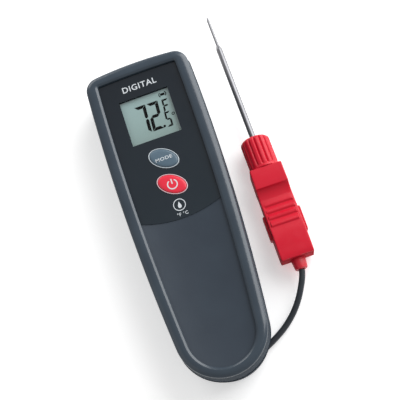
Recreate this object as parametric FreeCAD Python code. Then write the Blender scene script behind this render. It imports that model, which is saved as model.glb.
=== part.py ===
"""Digital meat thermometer: a hand-held meter lying on its back, with a penetration probe on a cord.

Frame: millimetres. The origin is on the flat back of the meter, half-way along it. +Y runs up the meter to the
display end, +X towards the probe and +Z out of the face. Every sub-part is one STEP file in parts/.
"""
import FreeCAD, Part
import math
import os

V = FreeCAD.Vector

# ---- meter: outline ------------------------------------------------------------------------------------------
BODY_LENGTH = 176.0          # overall, along Y
BODY_HALF_WIDTH = 29.4       # at the widest station
BODY_HEIGHT = 26.5           # flat back to the top of the rim
WIDEST_Y = 43.0              # station of the greatest width
SIDE_RADIUS = 1100.0         # each long side is one shallow arc
TOP_ARCH_RADIUS = 210.0
TOP_CORNER_RADIUS = 8.0
PARTING_Z = 14.0             # the two shells meet here
WALL = 3.4                   # side walls of both shells
BACK_THICKNESS = 2.4
SHELL_STEP = 0.3             # the front shell stands this much inside the rear one
FRONT_DRAFT = 0.3            # how far the front shell narrows towards the rim
BACK_DRAFT = 2.0
BACK_CHAMFER = 1.8

# ---- meter: face ---------------------------------------------------------------------------------------------
RECESS_HALF_WIDTH = 22.2
RECESS_SIDE_RADIUS = 1250.0
RECESS_TOP_Y = 81.2
RECESS_ARCH_RADIUS = 500.0
RECESS_FOOT_Y = -82.3
RECESS_CORNER_RADIUS = 1.0
RECESS_DEPTH = 2.3
RIM_BEVEL = 0.7
PLATE_THICKNESS = 1.6
LABEL_THICKNESS = 0.3
LABEL_EDGE_RADIUS = 60.0     # lower edge of the label, an arc that bulges downwards
LABEL_EDGE_Y = -3.1
LABEL_GAP = 0.15

# ---- display -------------------------------------------------------------------------------------------------
DISPLAY_Y = 55.5
VIEW_SIZE = (26.8, 25.9)
PANE_MARGIN = 1.5
PANE_THICKNESS = 1.0
GLASS_MARGIN = 2.6
GLASS_THICKNESS = 2.0
GLASS_DROP = 0.1             # below the underside of the face
FRAME_WALL = 2.0
STRIP_WIDTH = 2.0
BACKING_THICKNESS = 0.5
FIT_GAP = 0.1

# ---- buttons -------------------------------------------------------------------------------------------------
FUNCTION_Y = 30.75
POWER_Y = 15.9
BUTTON_SEMI = (7.65, 4.6)
BUTTON_TILT_DEG = -33.0
BUTTON_PROUD = 0.9           # above the label
BUTTON_FLANGE = 0.9
FLANGE_THICKNESS = 1.0
BUTTON_TRAVEL = 0.5
BUTTON_GAP = 0.12
RING_WIDTH = 0.5
RING_PROUD = 0.4
PLUNGER_RADIUS = 1.5
SWITCH_SIZE = (6.0, 6.0, 3.0)

# ---- circuit board -------------------------------------------------------------------------------------------
BOARD_DROP = 6.6             # from the underside of the face to the board
BOARD_THICKNESS = 1.6
BOARD_HALF_WIDTH = 18.4
BOARD_LOW_Y = -1.0
BOARD_HIGH_Y = 81.0
BOARD_SCREW_X = 15.4
BOARD_SCREW_Y = (3.0, 77.4)
BOARD_SCREW_RADIUS = 1.0

# ---- fasteners -----------------------------------------------------------------------------------------------
SCREW_POINTS = ((22.0, 71.0), (22.2, 10.0), (20.2, -44.0))   # mirrored about the middle
SCREW_RADIUS = 1.45
SCREW_HEAD_RADIUS = 2.2
SCREW_HEAD_DEPTH = 2.0
SCREW_SEAT_Z = 5.0
SCREW_GAP = 0.05
BOSS_RADIUS = 3.1
GASKET_INSET = 1.7
GASKET_WIDTH = 1.0
GASKET_DEPTH = 0.7           # into each shell

# ---- battery -------------------------------------------------------------------------------------------------
BATTERY_Y = 44.0
CELL_RADIUS = 10.0
CELL_THICKNESS = 3.2
CAP_RADIUS = 15.0
CAP_THICKNESS = 2.8
CAP_SUNK = 0.4
CAP_GAP = 0.15
NECK_RADIUS = 13.2
NECK_HEIGHT = 1.7
SEAL_SECTION = 0.65
LUG_REACH = 1.6
LUG_HEIGHT = 1.0
LUG_SWEEP_DEG = 30.0
CUP_WALL = 2.4
CONTACT_WIDTH = 3.0
CONTACT_THICKNESS = 0.4

# ---- cord ----------------------------------------------------------------------------------------------------
CORD_RADIUS = 1.6
FOLD_CLEARANCE = 0.1
FOLD_INNER = 9.7             # centre line of the inner turn
HANK_PITCH = 3.3             # from turn to turn
HANK_RUN = 48.0
HANK_LOW_Y = -67.5           # centre of the lower fold
HANK_BASE_Z = 1.0
HANK_HEIGHT = 6.7
TIE_THICKNESS = 0.8
TIE_WIDTH = 6.0
TIE_Y = -43.5
BAY_HALF_WIDTH = 16.3
BAY_TOP_Y = -4.4
BAY_LOW_Y = -83.2
BAY_CEILING_Z = 9.2
BAY_WALL = 1.7
BAY_CORNER = 0.6
SOLID_END = 15.0             # the lower end beside the bay is solid up to the bay's roof
OUTLET_LENGTH = 36.0         # from the hank's lower end out through the wall
OUTLET_WIDTH = 9.5
OUTLET_HEIGHT = 5.6
GLAND_RADIUS = 2.7
GLAND_LENGTH = 3.9
CORD_ROUTE = (               # from the probe's boot to the hank, chosen by hand
    (48.4, -48.3, 7.9),
    (46.9, -52.6, 7.1),
    (42.8, -58.4, 5.5),
    (36.4, -64.4, 3.7),
    (27.2, -70.4, 2.3),
    (14.4, -77.0, 2.2),
    (1.5, -80.5, 2.65),
)

# ---- probe (its own axis runs along Y at x = 0, and the whole probe is yawed into place) ----------------------
PROBE_PIVOT = (47.3, 10.0)
PROBE_YAW_DEG = 1.2
PROBE_AXIS_Z = 8.0
COLLAR_RADIUS = 8.0
COLLAR_Y = (11.8, 30.0)
COLLAR_RING = 1.3
COLLAR_NOSE = 2.6
FLUTES = 16
FLUTE_RADIUS = 0.85
GRIP_HALF_WIDTH = 8.6
GRIP_HALF_HEIGHT = 7.6
WAIST_HALF_HEIGHT = 4.4
BLOCK_END_Y = 0.5
WAIST_Y = -3.3
GRIP_STEPS = (-8.1, -11.9, -15.8, -20.3)
GRIP_END_Y = -38.9
GRIP_CORNER = 2.2
LUG_Y = (-26.0, -12.4)
LUG_OUT = 10.2
LUG_HALF_HEIGHT = 2.4
HANDLE_BORE = 4.0
BOOT_RADII = (3.7, 3.2)
BOOT_TIP_Y = -44.7
BOOT_INSIDE = 8.0
STEM_RADIUS = 1.6
STEM_BORE = 1.2
STEP_Y = 86.0
STEP_LENGTH = 2.5
TIP_RADIUS = 0.75
TIP_BORE = 0.45
TIP_Y = 106.6
TIP_POINT = 2.2
FERRULE_Y = (0.0, 22.0)
POTTING_Y = (-12.0, 0.0)
RUN_GAP = 0.05

PLATE_TOP_Z = BODY_HEIGHT - RECESS_DEPTH
PLATE_LOW_Z = PLATE_TOP_Z - PLATE_THICKNESS
BOARD_TOP_Z = PLATE_LOW_Z - BOARD_DROP
LABEL_TOP_Z = PLATE_TOP_Z + LABEL_THICKNESS
FOLD_OUTER = FOLD_INNER + HANK_PITCH
HANK_HIGH_Y = HANK_LOW_Y + HANK_RUN
UPPER_LAYER_Z = HANK_BASE_Z + HANK_HEIGHT - CORD_RADIUS - 0.05


# ---- outlines ------------------------------------------------------------------------------------------------
def circles_meet(centre_a, radius_a, centre_b, radius_b):
    """The upper of the two points where two circles meet, each given by centre and radius."""
    dx = centre_b[0] - centre_a[0]
    dy = centre_b[1] - centre_a[1]
    gap = math.hypot(dx, dy)
    along = (gap ** 2 + radius_a ** 2 - radius_b ** 2) / (2 * gap)
    across = math.sqrt(radius_a ** 2 - along ** 2)
    points = []
    for sign in (-1, 1):
        x = centre_a[0] + along * dx / gap - sign * across * dy / gap
        y = centre_a[1] + along * dy / gap + sign * across * dx / gap
        points.append((x, y))
    return max(points, key=lambda point: point[1])


def arc(start, middle, end, z):
    """An arc edge through three points at height z."""
    return Part.Arc(V(*start, z), V(*middle, z), V(*end, z)).toShape()


def round_end(side_centre, side_radius, foot_y):
    """Centre of the round lower end that runs smoothly into both sides."""
    reach = side_centre[1] - foot_y
    radius = (side_radius ** 2 - side_centre[0] ** 2 - reach ** 2) / (2 * (side_radius - reach))
    return (0, foot_y + radius)


def long_wire(sizes, inset, z):
    """A long outline with shallow sides, an arched top and a round lower end, moved inwards by inset.

    Its sizes are the half-width, side radius, top, arch radius and foot.
    """
    half_width, side_radius, top_y, arch_radius, foot_y = sizes
    side_centre = (half_width - side_radius, WIDEST_Y)
    side = side_radius - inset
    top = circles_meet(side_centre, side, (0, top_y - arch_radius), arch_radius - inset)
    end_centre = round_end(side_centre, side_radius, foot_y)
    heading = math.atan2(end_centre[1] - side_centre[1], end_centre[0] - side_centre[0])
    low = (side_centre[0] + side * math.cos(heading), side_centre[1] + side * math.sin(heading))
    widest = (half_width - inset, WIDEST_Y)
    crown = (0, top_y - inset)
    foot = (0, foot_y + inset)
    return Part.Wire([
        arc(low, widest, top, z),
        arc(top, crown, mirrored(top), z),
        arc(mirrored(top), mirrored(widest), mirrored(low), z),
        arc(mirrored(low), foot, low, z),
    ])


def body_wire(inset, z):
    """The meter's outline, moved inwards by inset, with sharp upper corners."""
    sizes = (BODY_HALF_WIDTH, SIDE_RADIUS, BODY_LENGTH / 2, TOP_ARCH_RADIUS, -BODY_LENGTH / 2)
    return long_wire(sizes, inset, z)


def recess_wire(inset, z):
    """The outline of the sunk face."""
    sizes = (RECESS_HALF_WIDTH, RECESS_SIDE_RADIUS, RECESS_TOP_Y, RECESS_ARCH_RADIUS, RECESS_FOOT_Y)
    return long_wire(sizes, inset, z)


def mirrored(point):
    """The same point on the other side of the middle line."""
    return (-point[0], point[1])


def between(wire_function, low, high, corner):
    """A solid between two outlines, each given as (inset, z), with its two upper corners rounded."""
    solid = Part.makeLoft([wire_function(*low), wire_function(*high)], True, True)
    edges = [e for e in solid.Edges if is_upright(e) and e.BoundBox.YMin > 0]
    return solid.makeFillet(corner, edges)


def is_upright(edge):
    """True for an edge that runs up the side of a solid."""
    return edge.BoundBox.ZLength > 0.2 and edge.BoundBox.XLength < 3.0 and edge.BoundBox.YLength < 3.0


def body_solid(inset_low, inset_high, z_low, z_high):
    """A slice of the meter's body."""
    inset = max(inset_low, inset_high)
    return between(body_wire, (inset_low, z_low), (inset_high, z_high),
                   TOP_CORNER_RADIUS - inset)


def recess_solid(inset_low, inset_high, z_low, z_high):
    """A slice of the sunk face."""
    return between(recess_wire, (inset_low, z_low), (inset_high, z_high), RECESS_CORNER_RADIUS)


# ---- plain solids --------------------------------------------------------------------------------------------
def block(size_x, size_y, z_low, z_high, x=0.0, y=0.0):
    """A box centred on (x, y)."""
    return Part.makeBox(size_x, size_y, z_high - z_low, V(x - size_x / 2, y - size_y / 2, z_low))


def disc(radius, z_low, z_high, x=0.0, y=0.0):
    """An upright cylinder."""
    return Part.makeCylinder(radius, z_high - z_low, V(x, y, z_low))


def rod(radius, y_low, y_high, x=0.0, z=PROBE_AXIS_Z):
    """A cylinder along Y, in the probe's own frame unless x and z say otherwise."""
    return Part.makeCylinder(radius, y_high - y_low, V(x, y_low, z), V(0, 1, 0))


def cone(radius_low, radius_high, y_low, y_high):
    """A tapered rod on the probe's axis."""
    return Part.makeCone(radius_low, radius_high, y_high - y_low, V(0, y_low, PROBE_AXIS_Z), V(0, 1, 0))


def oval(grow, z_low, z_high, y):
    """A button's tilted oval, grown by a margin."""
    curve = Part.Ellipse(V(0, 0, 0), BUTTON_SEMI[0] + grow, BUTTON_SEMI[1] + grow)
    solid = Part.Face(Part.Wire(curve.toShape())).extrude(V(0, 0, z_high - z_low))
    solid.rotate(V(0, 0, 0), V(0, 0, 1), BUTTON_TILT_DEG)
    solid.translate(V(0, y, z_low))
    return solid


def joined(solids):
    """One solid from several that overlap."""
    first, *others = solids
    return first.fuse(others).removeSplitter() if others else first


# ---- the cord ------------------------------------------------------------------------------------------------
def tube_along(points, radius):
    """A round tube on straight runs joined by tangent arcs, and the arcs' radii."""
    points = [V(*p) for p in points]
    edges = []
    radii = []
    cursor = points[0]
    for before, corner, after in zip(points, points[1:], points[2:]):
        run_in = (corner - before).Length
        run_out = (after - corner).Length
        way_in = (corner - before).normalize()
        way_out = (after - corner).normalize()
        half_turn = way_in.getAngle(way_out) / 2
        trim = 0.45 * min(run_in, run_out)
        radii.append(trim / math.tan(half_turn))
        start = corner - way_in * trim
        end = corner + way_out * trim
        inward = (way_out - way_in).normalize()
        centre = corner + inward * (radii[-1] / math.cos(half_turn))
        middle = centre - inward * radii[-1]
        edges.append(Part.LineSegment(cursor, start).toShape())
        edges.append(Part.Arc(start, middle, end).toShape())
        cursor = end
    edges.append(Part.LineSegment(cursor, points[-1]).toShape())
    path = Part.Wire(edges)
    section = Part.Wire(Part.Circle(points[0], points[1] - points[0], radius).toShape())
    return path.makePipeShell([section], True, False), radii, path.Length


def probe_cord():
    """The free stretch from the probe's boot to the hank."""
    tube, radii, length = tube_along(CORD_ROUTE, CORD_RADIUS)
    expected = math.pi * CORD_RADIUS ** 2 * length
    print("cord arcs, mm:", [round(r, 1) for r in radii], "length", round(length, 1),
          "volume over section times length", round(tube.Volume / expected, 4))
    return tube


def racetrack(radius, z_low, z_high):
    """A long slot-shaped disc about the two fold centres of the hank."""
    middle_y = (HANK_LOW_Y + HANK_HIGH_Y) / 2
    return joined([
        disc(radius, z_low, z_high, 0, HANK_LOW_Y),
        disc(radius, z_low, z_high, 0, HANK_HIGH_Y),
        block(2 * radius, HANK_RUN, z_low, z_high, 0, middle_y),
    ])


def cord_hank():
    """The outer shape of the folded length: a closed ring of two layers and two turns."""
    outer = FOLD_OUTER + CORD_RADIUS + FOLD_CLEARANCE
    inner = FOLD_INNER - CORD_RADIUS - FOLD_CLEARANCE
    top = HANK_BASE_Z + HANK_HEIGHT
    return racetrack(outer, HANK_BASE_Z, top).cut(racetrack(inner, HANK_BASE_Z, top))


def cord_tail():
    """The last straight stretch, from the upper layer of the hank into the gland."""
    return rod(CORD_RADIUS, HANK_HIGH_Y - 4, BAY_TOP_Y - GLAND_LENGTH, -FOLD_OUTER, UPPER_LAYER_Z)


def cord_gland():
    """The tapered rubber sleeve where the cord goes into the case."""
    start = BAY_TOP_Y - GLAND_LENGTH
    at = V(-FOLD_OUTER, start, UPPER_LAYER_Z)
    sleeve = Part.makeCone(GLAND_RADIUS - 0.5, GLAND_RADIUS, GLAND_LENGTH, at, V(0, 1, 0))
    return sleeve.fuse(rod(GLAND_RADIUS - 0.5, BAY_TOP_Y, BAY_TOP_Y + BAY_WALL, at.x, at.z))


def cord_ties():
    """Two soft straps, one round each run of the hank."""
    inner = FOLD_INNER - CORD_RADIUS - FOLD_CLEARANCE
    outer = FOLD_OUTER + CORD_RADIUS + FOLD_CLEARANCE
    width = outer - inner
    low = HANK_BASE_Z
    high = HANK_BASE_Z + HANK_HEIGHT
    straps = []
    for side in (-1, 1):
        x = side * (inner + outer) / 2
        strap = block(width + 2 * TIE_THICKNESS, TIE_WIDTH, low - TIE_THICKNESS, high + TIE_THICKNESS, x, TIE_Y)
        straps.append(strap.cut(block(width, TIE_WIDTH, low, high, x, TIE_Y)))
    return Part.makeCompound(straps)


# ---- the meter's shells --------------------------------------------------------------------------------------
def screw_points():
    """All the places of the housing screws."""
    return [(side * x, y) for x, y in SCREW_POINTS for side in (1, -1)]


def board_screw_points():
    """All the places of the board screws."""
    return [(side * BOARD_SCREW_X, y) for y in BOARD_SCREW_Y for side in (1, -1)]


def gasket_ring():
    """The seal's own shape, which both shells are grooved for."""
    low = PARTING_Z - GASKET_DEPTH
    high = PARTING_Z + GASKET_DEPTH
    outer = body_solid(GASKET_INSET, GASKET_INSET, low, high)
    inset = GASKET_INSET + GASKET_WIDTH
    return outer.cut(body_solid(inset, inset, low, high))


def front_housing():
    """The front shell: rim, sunk face with its windows, and the screw bosses."""
    foot = SHELL_STEP
    shell = body_solid(foot, foot + FRONT_DRAFT, PARTING_Z, BODY_HEIGHT)
    shell = shell.cut(recess_solid(0, 0, PLATE_TOP_Z, BODY_HEIGHT))
    shell = shell.cut(recess_solid(0, -RIM_BEVEL, BODY_HEIGHT - RIM_BEVEL, BODY_HEIGHT))
    shell = shell.cut(body_solid(WALL, WALL, PARTING_Z, PLATE_LOW_Z))
    bosses = [disc(BOSS_RADIUS, PARTING_Z, PLATE_LOW_Z, x, y) for x, y in screw_points()]
    bosses += [disc(BOARD_SCREW_RADIUS + 1.4, BOARD_TOP_Z, PLATE_LOW_Z, x, y) for x, y in board_screw_points()]
    shell = shell.fuse(bosses)
    cuts = [disc(SCREW_RADIUS + SCREW_GAP, PARTING_Z, PLATE_LOW_Z - 1.2, x, y) for x, y in screw_points()]
    cuts += [disc(BOARD_SCREW_RADIUS + SCREW_GAP, BOARD_TOP_Z, BOARD_TOP_Z + 4.6, x, y)
             for x, y in board_screw_points()]
    cuts.append(block(*VIEW_SIZE, PLATE_LOW_Z, PLATE_TOP_Z, 0, DISPLAY_Y))
    cuts.append(window_block(PANE_MARGIN + FIT_GAP, PLATE_TOP_Z - PANE_THICKNESS, PLATE_TOP_Z))
    for y in (FUNCTION_Y, POWER_Y):
        cuts.append(oval(BUTTON_GAP, PLATE_LOW_Z, PLATE_TOP_Z, y))
    cuts.append(gasket_ring())
    return shell.cut(cuts)


def window_block(margin, z_low, z_high):
    """A box over the display's view, grown by a margin all round."""
    return block(VIEW_SIZE[0] + 2 * margin, VIEW_SIZE[1] + 2 * margin, z_low, z_high, 0, DISPLAY_Y)


def bay_block(grow, z_high):
    """The cord bay in the back, grown for its walls."""
    low_radius = BAY_HALF_WIDTH + grow
    low_centre = BAY_LOW_Y + BAY_HALF_WIDTH
    top = BAY_TOP_Y + grow
    upper = block(2 * low_radius, top - low_centre, 0, z_high, 0, (top + low_centre) / 2)
    corners = [e for e in upper.Edges if is_upright(e) and e.BoundBox.YMin > low_centre + 1]
    upper = upper.makeFillet(BAY_CORNER, corners)
    return upper.fuse(disc(low_radius, 0, z_high, 0, low_centre))


def cord_outlet():
    """The mouth in the side wall through which the cord leaves the bay."""
    inside = V(*CORD_ROUTE[-1])
    outside = V(*CORD_ROUTE[-3])
    run = outside - inside
    heading = math.degrees(math.atan2(run.y, run.x))
    mouth = Part.makeBox(OUTLET_LENGTH, OUTLET_WIDTH, OUTLET_HEIGHT, V(0, -OUTLET_WIDTH / 2, 0))
    mouth.rotate(V(0, 0, 0), V(0, 0, 1), heading)
    mouth.translate(V(inside.x, inside.y, 0))
    return mouth


def rear_housing():
    """The rear shell: flat back, battery cup, cord bay and screw columns."""
    shell = body_solid(BACK_DRAFT, 0, 0, PARTING_Z)
    shell = shell.makeChamfer(BACK_CHAMFER, [e for e in shell.Edges if e.BoundBox.ZMax < 0.01])
    shell = shell.cut(body_solid(WALL, WALL, BACK_THICKNESS, PARTING_Z))
    roof = BAY_CEILING_Z + BAY_WALL
    clear = (BACK_DRAFT + BACK_CHAMFER + WALL) / 2
    inner_room = body_solid(clear, clear, 0, PARTING_Z)
    low_end = block(2 * BODY_HALF_WIDTH, SOLID_END, 0, roof, 0, (SOLID_END - BODY_LENGTH) / 2)
    additions = [bay_block(BAY_WALL, roof).fuse(low_end).common(inner_room)]
    cup_radius = CAP_RADIUS + LUG_REACH + CUP_WALL
    additions.append(disc(cup_radius, 0, cup_roof_z() + BAY_WALL, 0, BATTERY_Y))
    additions += [disc(BOSS_RADIUS, 0, PARTING_Z, x, y) for x, y in screw_points()]
    shell = shell.fuse(additions)
    cuts = [bay_block(0, BAY_CEILING_Z), cord_outlet(), gasket_ring()]
    for x, y in screw_points():
        cuts.append(disc(SCREW_HEAD_RADIUS + 0.3, 0, SCREW_SEAT_Z, x, y))
        cuts.append(disc(SCREW_RADIUS + SCREW_GAP, 0, PARTING_Z, x, y))
    cuts += battery_cavities()
    cuts.append(rod(GLAND_RADIUS - 0.5, BAY_TOP_Y, BAY_TOP_Y + BAY_WALL, -FOLD_OUTER, UPPER_LAYER_Z))
    return shell.cut(cuts)


def cap_top_z():
    """Inner end of the cap's neck."""
    return CAP_SUNK + CAP_THICKNESS + NECK_HEIGHT


def cup_roof_z():
    """Underside of the battery cup's roof."""
    return cap_top_z() + CELL_THICKNESS + 0.5


def battery_cavities():
    """What is hollowed out of the rear shell for the cap, its lugs, the cell and the contacts."""
    cap_end = CAP_SUNK + CAP_THICKNESS
    lug_low = cap_end - LUG_HEIGHT
    hollows = [
        disc(CAP_RADIUS + CAP_GAP, 0, cap_end + CAP_GAP, 0, BATTERY_Y),
        disc(NECK_RADIUS + 2 * SEAL_SECTION + CAP_GAP, 0, cup_roof_z(), 0, BATTERY_Y),
        disc(CAP_RADIUS + LUG_REACH + CAP_GAP, lug_low - CAP_GAP, cap_end + CAP_GAP, 0, BATTERY_Y),
    ]
    for x, y in contact_points():
        hollows.append(block(CONTACT_WIDTH + 0.4, CONTACT_THICKNESS + 0.4, cup_roof_z(),
                             cup_roof_z() + BAY_WALL, x, y))
    return hollows


def housing_gasket():
    """The seal between the shells."""
    return gasket_ring()


def housing_screws():
    """Six screws, driven from the back into the front shell's bosses."""
    screws = []
    for x, y in screw_points():
        head = disc(SCREW_HEAD_RADIUS, SCREW_SEAT_Z - SCREW_HEAD_DEPTH, SCREW_SEAT_Z, x, y)
        cross = [block(2.6, 0.6, SCREW_SEAT_Z - SCREW_HEAD_DEPTH, SCREW_SEAT_Z - SCREW_HEAD_DEPTH + 1, x, y),
                 block(0.6, 2.6, SCREW_SEAT_Z - SCREW_HEAD_DEPTH, SCREW_SEAT_Z - SCREW_HEAD_DEPTH + 1, x, y)]
        screws.append(head.fuse(disc(SCREW_RADIUS, SCREW_SEAT_Z, PLATE_LOW_Z - 1.8, x, y)).cut(cross))
    return Part.makeCompound(screws)


# ---- face and display ----------------------------------------------------------------------------------------
def face_label():
    """The glossy printed sheet on the upper part of the sunk face."""
    sheet = recess_solid(LABEL_GAP, LABEL_GAP, PLATE_TOP_Z, LABEL_TOP_Z)
    sheet = sheet.common(disc(LABEL_EDGE_RADIUS, PLATE_TOP_Z, LABEL_TOP_Z, 0, LABEL_EDGE_Y + LABEL_EDGE_RADIUS))
    cuts = [block(*VIEW_SIZE, PLATE_TOP_Z, LABEL_TOP_Z, 0, DISPLAY_Y)]
    for y in (FUNCTION_Y, POWER_Y):
        cuts.append(oval(BUTTON_GAP + RING_WIDTH, PLATE_TOP_Z, LABEL_TOP_Z, y))
    return sheet.cut(cuts)


def lcd_window():
    """The clear pane in its pocket."""
    return window_block(PANE_MARGIN, PLATE_TOP_Z - PANE_THICKNESS, PLATE_TOP_Z)


def glass_top_z():
    """Upper face of the display glass."""
    return PLATE_LOW_Z - GLASS_DROP - FIT_GAP


def lcd_glass():
    """The liquid crystal cell."""
    return window_block(GLASS_MARGIN, glass_top_z() - GLASS_THICKNESS, glass_top_z())


def lcd_frame():
    """The frame that holds the glass and the strips on the board."""
    outer = window_block(GLASS_MARGIN + FRAME_WALL, BOARD_TOP_Z, PLATE_LOW_Z - GLASS_DROP)
    inner = window_block(GLASS_MARGIN + FIT_GAP, BOARD_TOP_Z, glass_top_z() + FIT_GAP)
    return outer.cut([inner, window_block(0.4, BOARD_TOP_Z, PLATE_LOW_Z)])


def strip_offset():
    """Distance of each contact strip from the display's middle."""
    return VIEW_SIZE[1] / 2 + GLASS_MARGIN - STRIP_WIDTH / 2


def zebra_strips():
    """Two elastomer strips that connect the glass to the board."""
    low = BOARD_TOP_Z
    high = glass_top_z() - GLASS_THICKNESS
    strips = [block(VIEW_SIZE[0], STRIP_WIDTH, low, high, 0, DISPLAY_Y + side * strip_offset())
              for side in (-1, 1)]
    return Part.makeCompound(strips)


def lcd_backing():
    """The pale reflector behind the glass."""
    high = glass_top_z() - GLASS_THICKNESS
    depth = 2 * strip_offset() - STRIP_WIDTH - 2 * FIT_GAP
    return block(VIEW_SIZE[0] + GLASS_MARGIN, depth, high - BACKING_THICKNESS, high, 0, DISPLAY_Y)


# ---- electronics ---------------------------------------------------------------------------------------------
def circuit_board():
    """The board, hung from the front shell by four screws."""
    low = BOARD_TOP_Z - BOARD_THICKNESS
    board = block(2 * BOARD_HALF_WIDTH, BOARD_HIGH_Y - BOARD_LOW_Y, low, BOARD_TOP_Z,
                  0, (BOARD_HIGH_Y + BOARD_LOW_Y) / 2)
    holes = [disc(BOARD_SCREW_RADIUS + 0.1, low, BOARD_TOP_Z, x, y) for x, y in board_screw_points()]
    return board.cut(holes)


def board_screws():
    """Four small screws."""
    low = BOARD_TOP_Z - BOARD_THICKNESS
    screws = []
    for x, y in board_screw_points():
        head = disc(1.9, low - 1.2, low, x, y)
        screws.append(head.fuse(disc(BOARD_SCREW_RADIUS, low, BOARD_TOP_Z + 4, x, y)))
    return Part.makeCompound(screws)


def processor_chip():
    """The measuring chip under the board."""
    low = BOARD_TOP_Z - BOARD_THICKNESS
    return block(10, 10, low - 1.2, low, 7.5, 14.5)


def timing_crystal():
    """A small metal can beside the chip."""
    low = BOARD_TOP_Z - BOARD_THICKNESS
    return Part.makeCylinder(1.0, 6.0, V(-1.5, 12.0, low - 1.0), V(0, 1, 0))


def lead_connector():
    """The socket that the sensor leads plug into."""
    low = BOARD_TOP_Z - BOARD_THICKNESS
    return block(7, 6, low - 4.5, low, -FOLD_OUTER, 15)


def sensor_leads():
    """Two insulated wires from the gland to the connector."""
    z_high = BOARD_TOP_Z - BOARD_THICKNESS - 2.4
    start_y = BAY_TOP_Y + BAY_WALL + 0.1
    wires = []
    for side in (-1, 1):
        x = -FOLD_OUTER + side * 0.9
        route = ((x, start_y, UPPER_LAYER_Z), (x, start_y + 5, UPPER_LAYER_Z + 0.6),
                 (x, start_y + 9, z_high - 0.4), (x, 11.9, z_high))
        wires.append(tube_along(route, 0.6)[0])
    return Part.makeCompound(wires)


# ---- buttons -------------------------------------------------------------------------------------------------
def button(y):
    """A button cap with the flange that keeps it in the face, and its short stem."""
    top = LABEL_TOP_Z + BUTTON_PROUD
    cap = oval(0, PLATE_LOW_Z - BUTTON_GAP, top, y)
    crown = [e for e in cap.Edges if e.BoundBox.ZMin > top - 0.01]
    cap = cap.makeChamfer(0.5, crown)
    flange_top = PLATE_LOW_Z - BUTTON_GAP / 2
    flange = oval(BUTTON_FLANGE, flange_top - FLANGE_THICKNESS, flange_top, y)
    stem = disc(PLUNGER_RADIUS + 0.5, plunger_top_z(), flange_top, 0, y)
    return joined([cap, flange, stem])


def plunger_top_z():
    """Where a button's stem meets its switch plunger."""
    return BOARD_TOP_Z + SWITCH_SIZE[2] + 1.2


def plunger(y):
    """The moving pin of a push switch."""
    return disc(PLUNGER_RADIUS, BOARD_TOP_Z + SWITCH_SIZE[2] - 0.8, plunger_top_z(), 0, y)


def push_switch(y):
    """The fixed can of a push switch, bored for its plunger."""
    can = block(SWITCH_SIZE[0], SWITCH_SIZE[1], BOARD_TOP_Z, BOARD_TOP_Z + SWITCH_SIZE[2], 0, y)
    floor = BOARD_TOP_Z + SWITCH_SIZE[2] - 0.8 - BUTTON_TRAVEL - 0.3
    return can.cut(disc(PLUNGER_RADIUS + RUN_GAP, floor, BOARD_TOP_Z + SWITCH_SIZE[2], 0, y))


def button_ring(y):
    """The pale trim round a button."""
    top = LABEL_TOP_Z + RING_PROUD
    return oval(BUTTON_GAP + RING_WIDTH, PLATE_TOP_Z, top, y).cut(oval(BUTTON_GAP, PLATE_TOP_Z, top, y))


# ---- battery -------------------------------------------------------------------------------------------------
def battery_cap():
    """The round coin-slot cap with two bayonet lugs and a neck for its seal."""
    end = CAP_SUNK + CAP_THICKNESS
    cap = disc(CAP_RADIUS, CAP_SUNK, end, 0, BATTERY_Y)
    neck = disc(NECK_RADIUS, end, end + NECK_HEIGHT, 0, BATTERY_Y)
    lugs = []
    for facing in (0, 180):
        sector = Part.makeCylinder(CAP_RADIUS + LUG_REACH, LUG_HEIGHT, V(0, 0, 0), V(0, 0, 1), LUG_SWEEP_DEG)
        sector.rotate(V(0, 0, 0), V(0, 0, 1), facing - LUG_SWEEP_DEG / 2)
        sector.translate(V(0, BATTERY_Y, end - LUG_HEIGHT))
        lugs.append(sector)
    cap = joined([cap, neck] + lugs)
    return cap.cut(block(18, 2.0, CAP_SUNK, CAP_SUNK + 1.3, 0, BATTERY_Y))


def battery_seal():
    """The O-ring on the cap's neck."""
    z = CAP_SUNK + CAP_THICKNESS + NECK_HEIGHT / 2
    return Part.makeTorus(NECK_RADIUS + SEAL_SECTION, SEAL_SECTION, V(0, BATTERY_Y, z))


def coin_cell():
    """The button cell: a wide can with a narrower lid facing the contacts."""
    low = cap_top_z() + 0.15
    can = disc(CELL_RADIUS, low, low + CELL_THICKNESS - 0.4, 0, BATTERY_Y)
    return can.fuse(disc(CELL_RADIUS - 1.2, low, low + CELL_THICKNESS, 0, BATTERY_Y))


def battery_holder():
    """The ring that centres the cell in the cup."""
    outer = NECK_RADIUS + 2 * SEAL_SECTION + CAP_GAP
    ring = disc(outer, cap_top_z() + 0.1, cup_roof_z(), 0, BATTERY_Y)
    return ring.cut(disc(CELL_RADIUS + FIT_GAP, 0, cup_roof_z(), 0, BATTERY_Y))


def contact_points():
    """The two contacts: one at the middle of the lid and one on the can's shoulder."""
    return ((0, BATTERY_Y), (0, BATTERY_Y + CELL_RADIUS - CONTACT_THICKNESS))


def battery_contacts():
    """Two strips that stand between the cell and the board."""
    cell_low = cap_top_z() + 0.15
    heights = (cell_low + CELL_THICKNESS, cell_low + CELL_THICKNESS - 0.4)
    strips = [block(CONTACT_WIDTH, CONTACT_THICKNESS, low, BOARD_TOP_Z - BOARD_THICKNESS, x, y)
              for (x, y), low in zip(contact_points(), heights)]
    return Part.makeCompound(strips)


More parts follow.
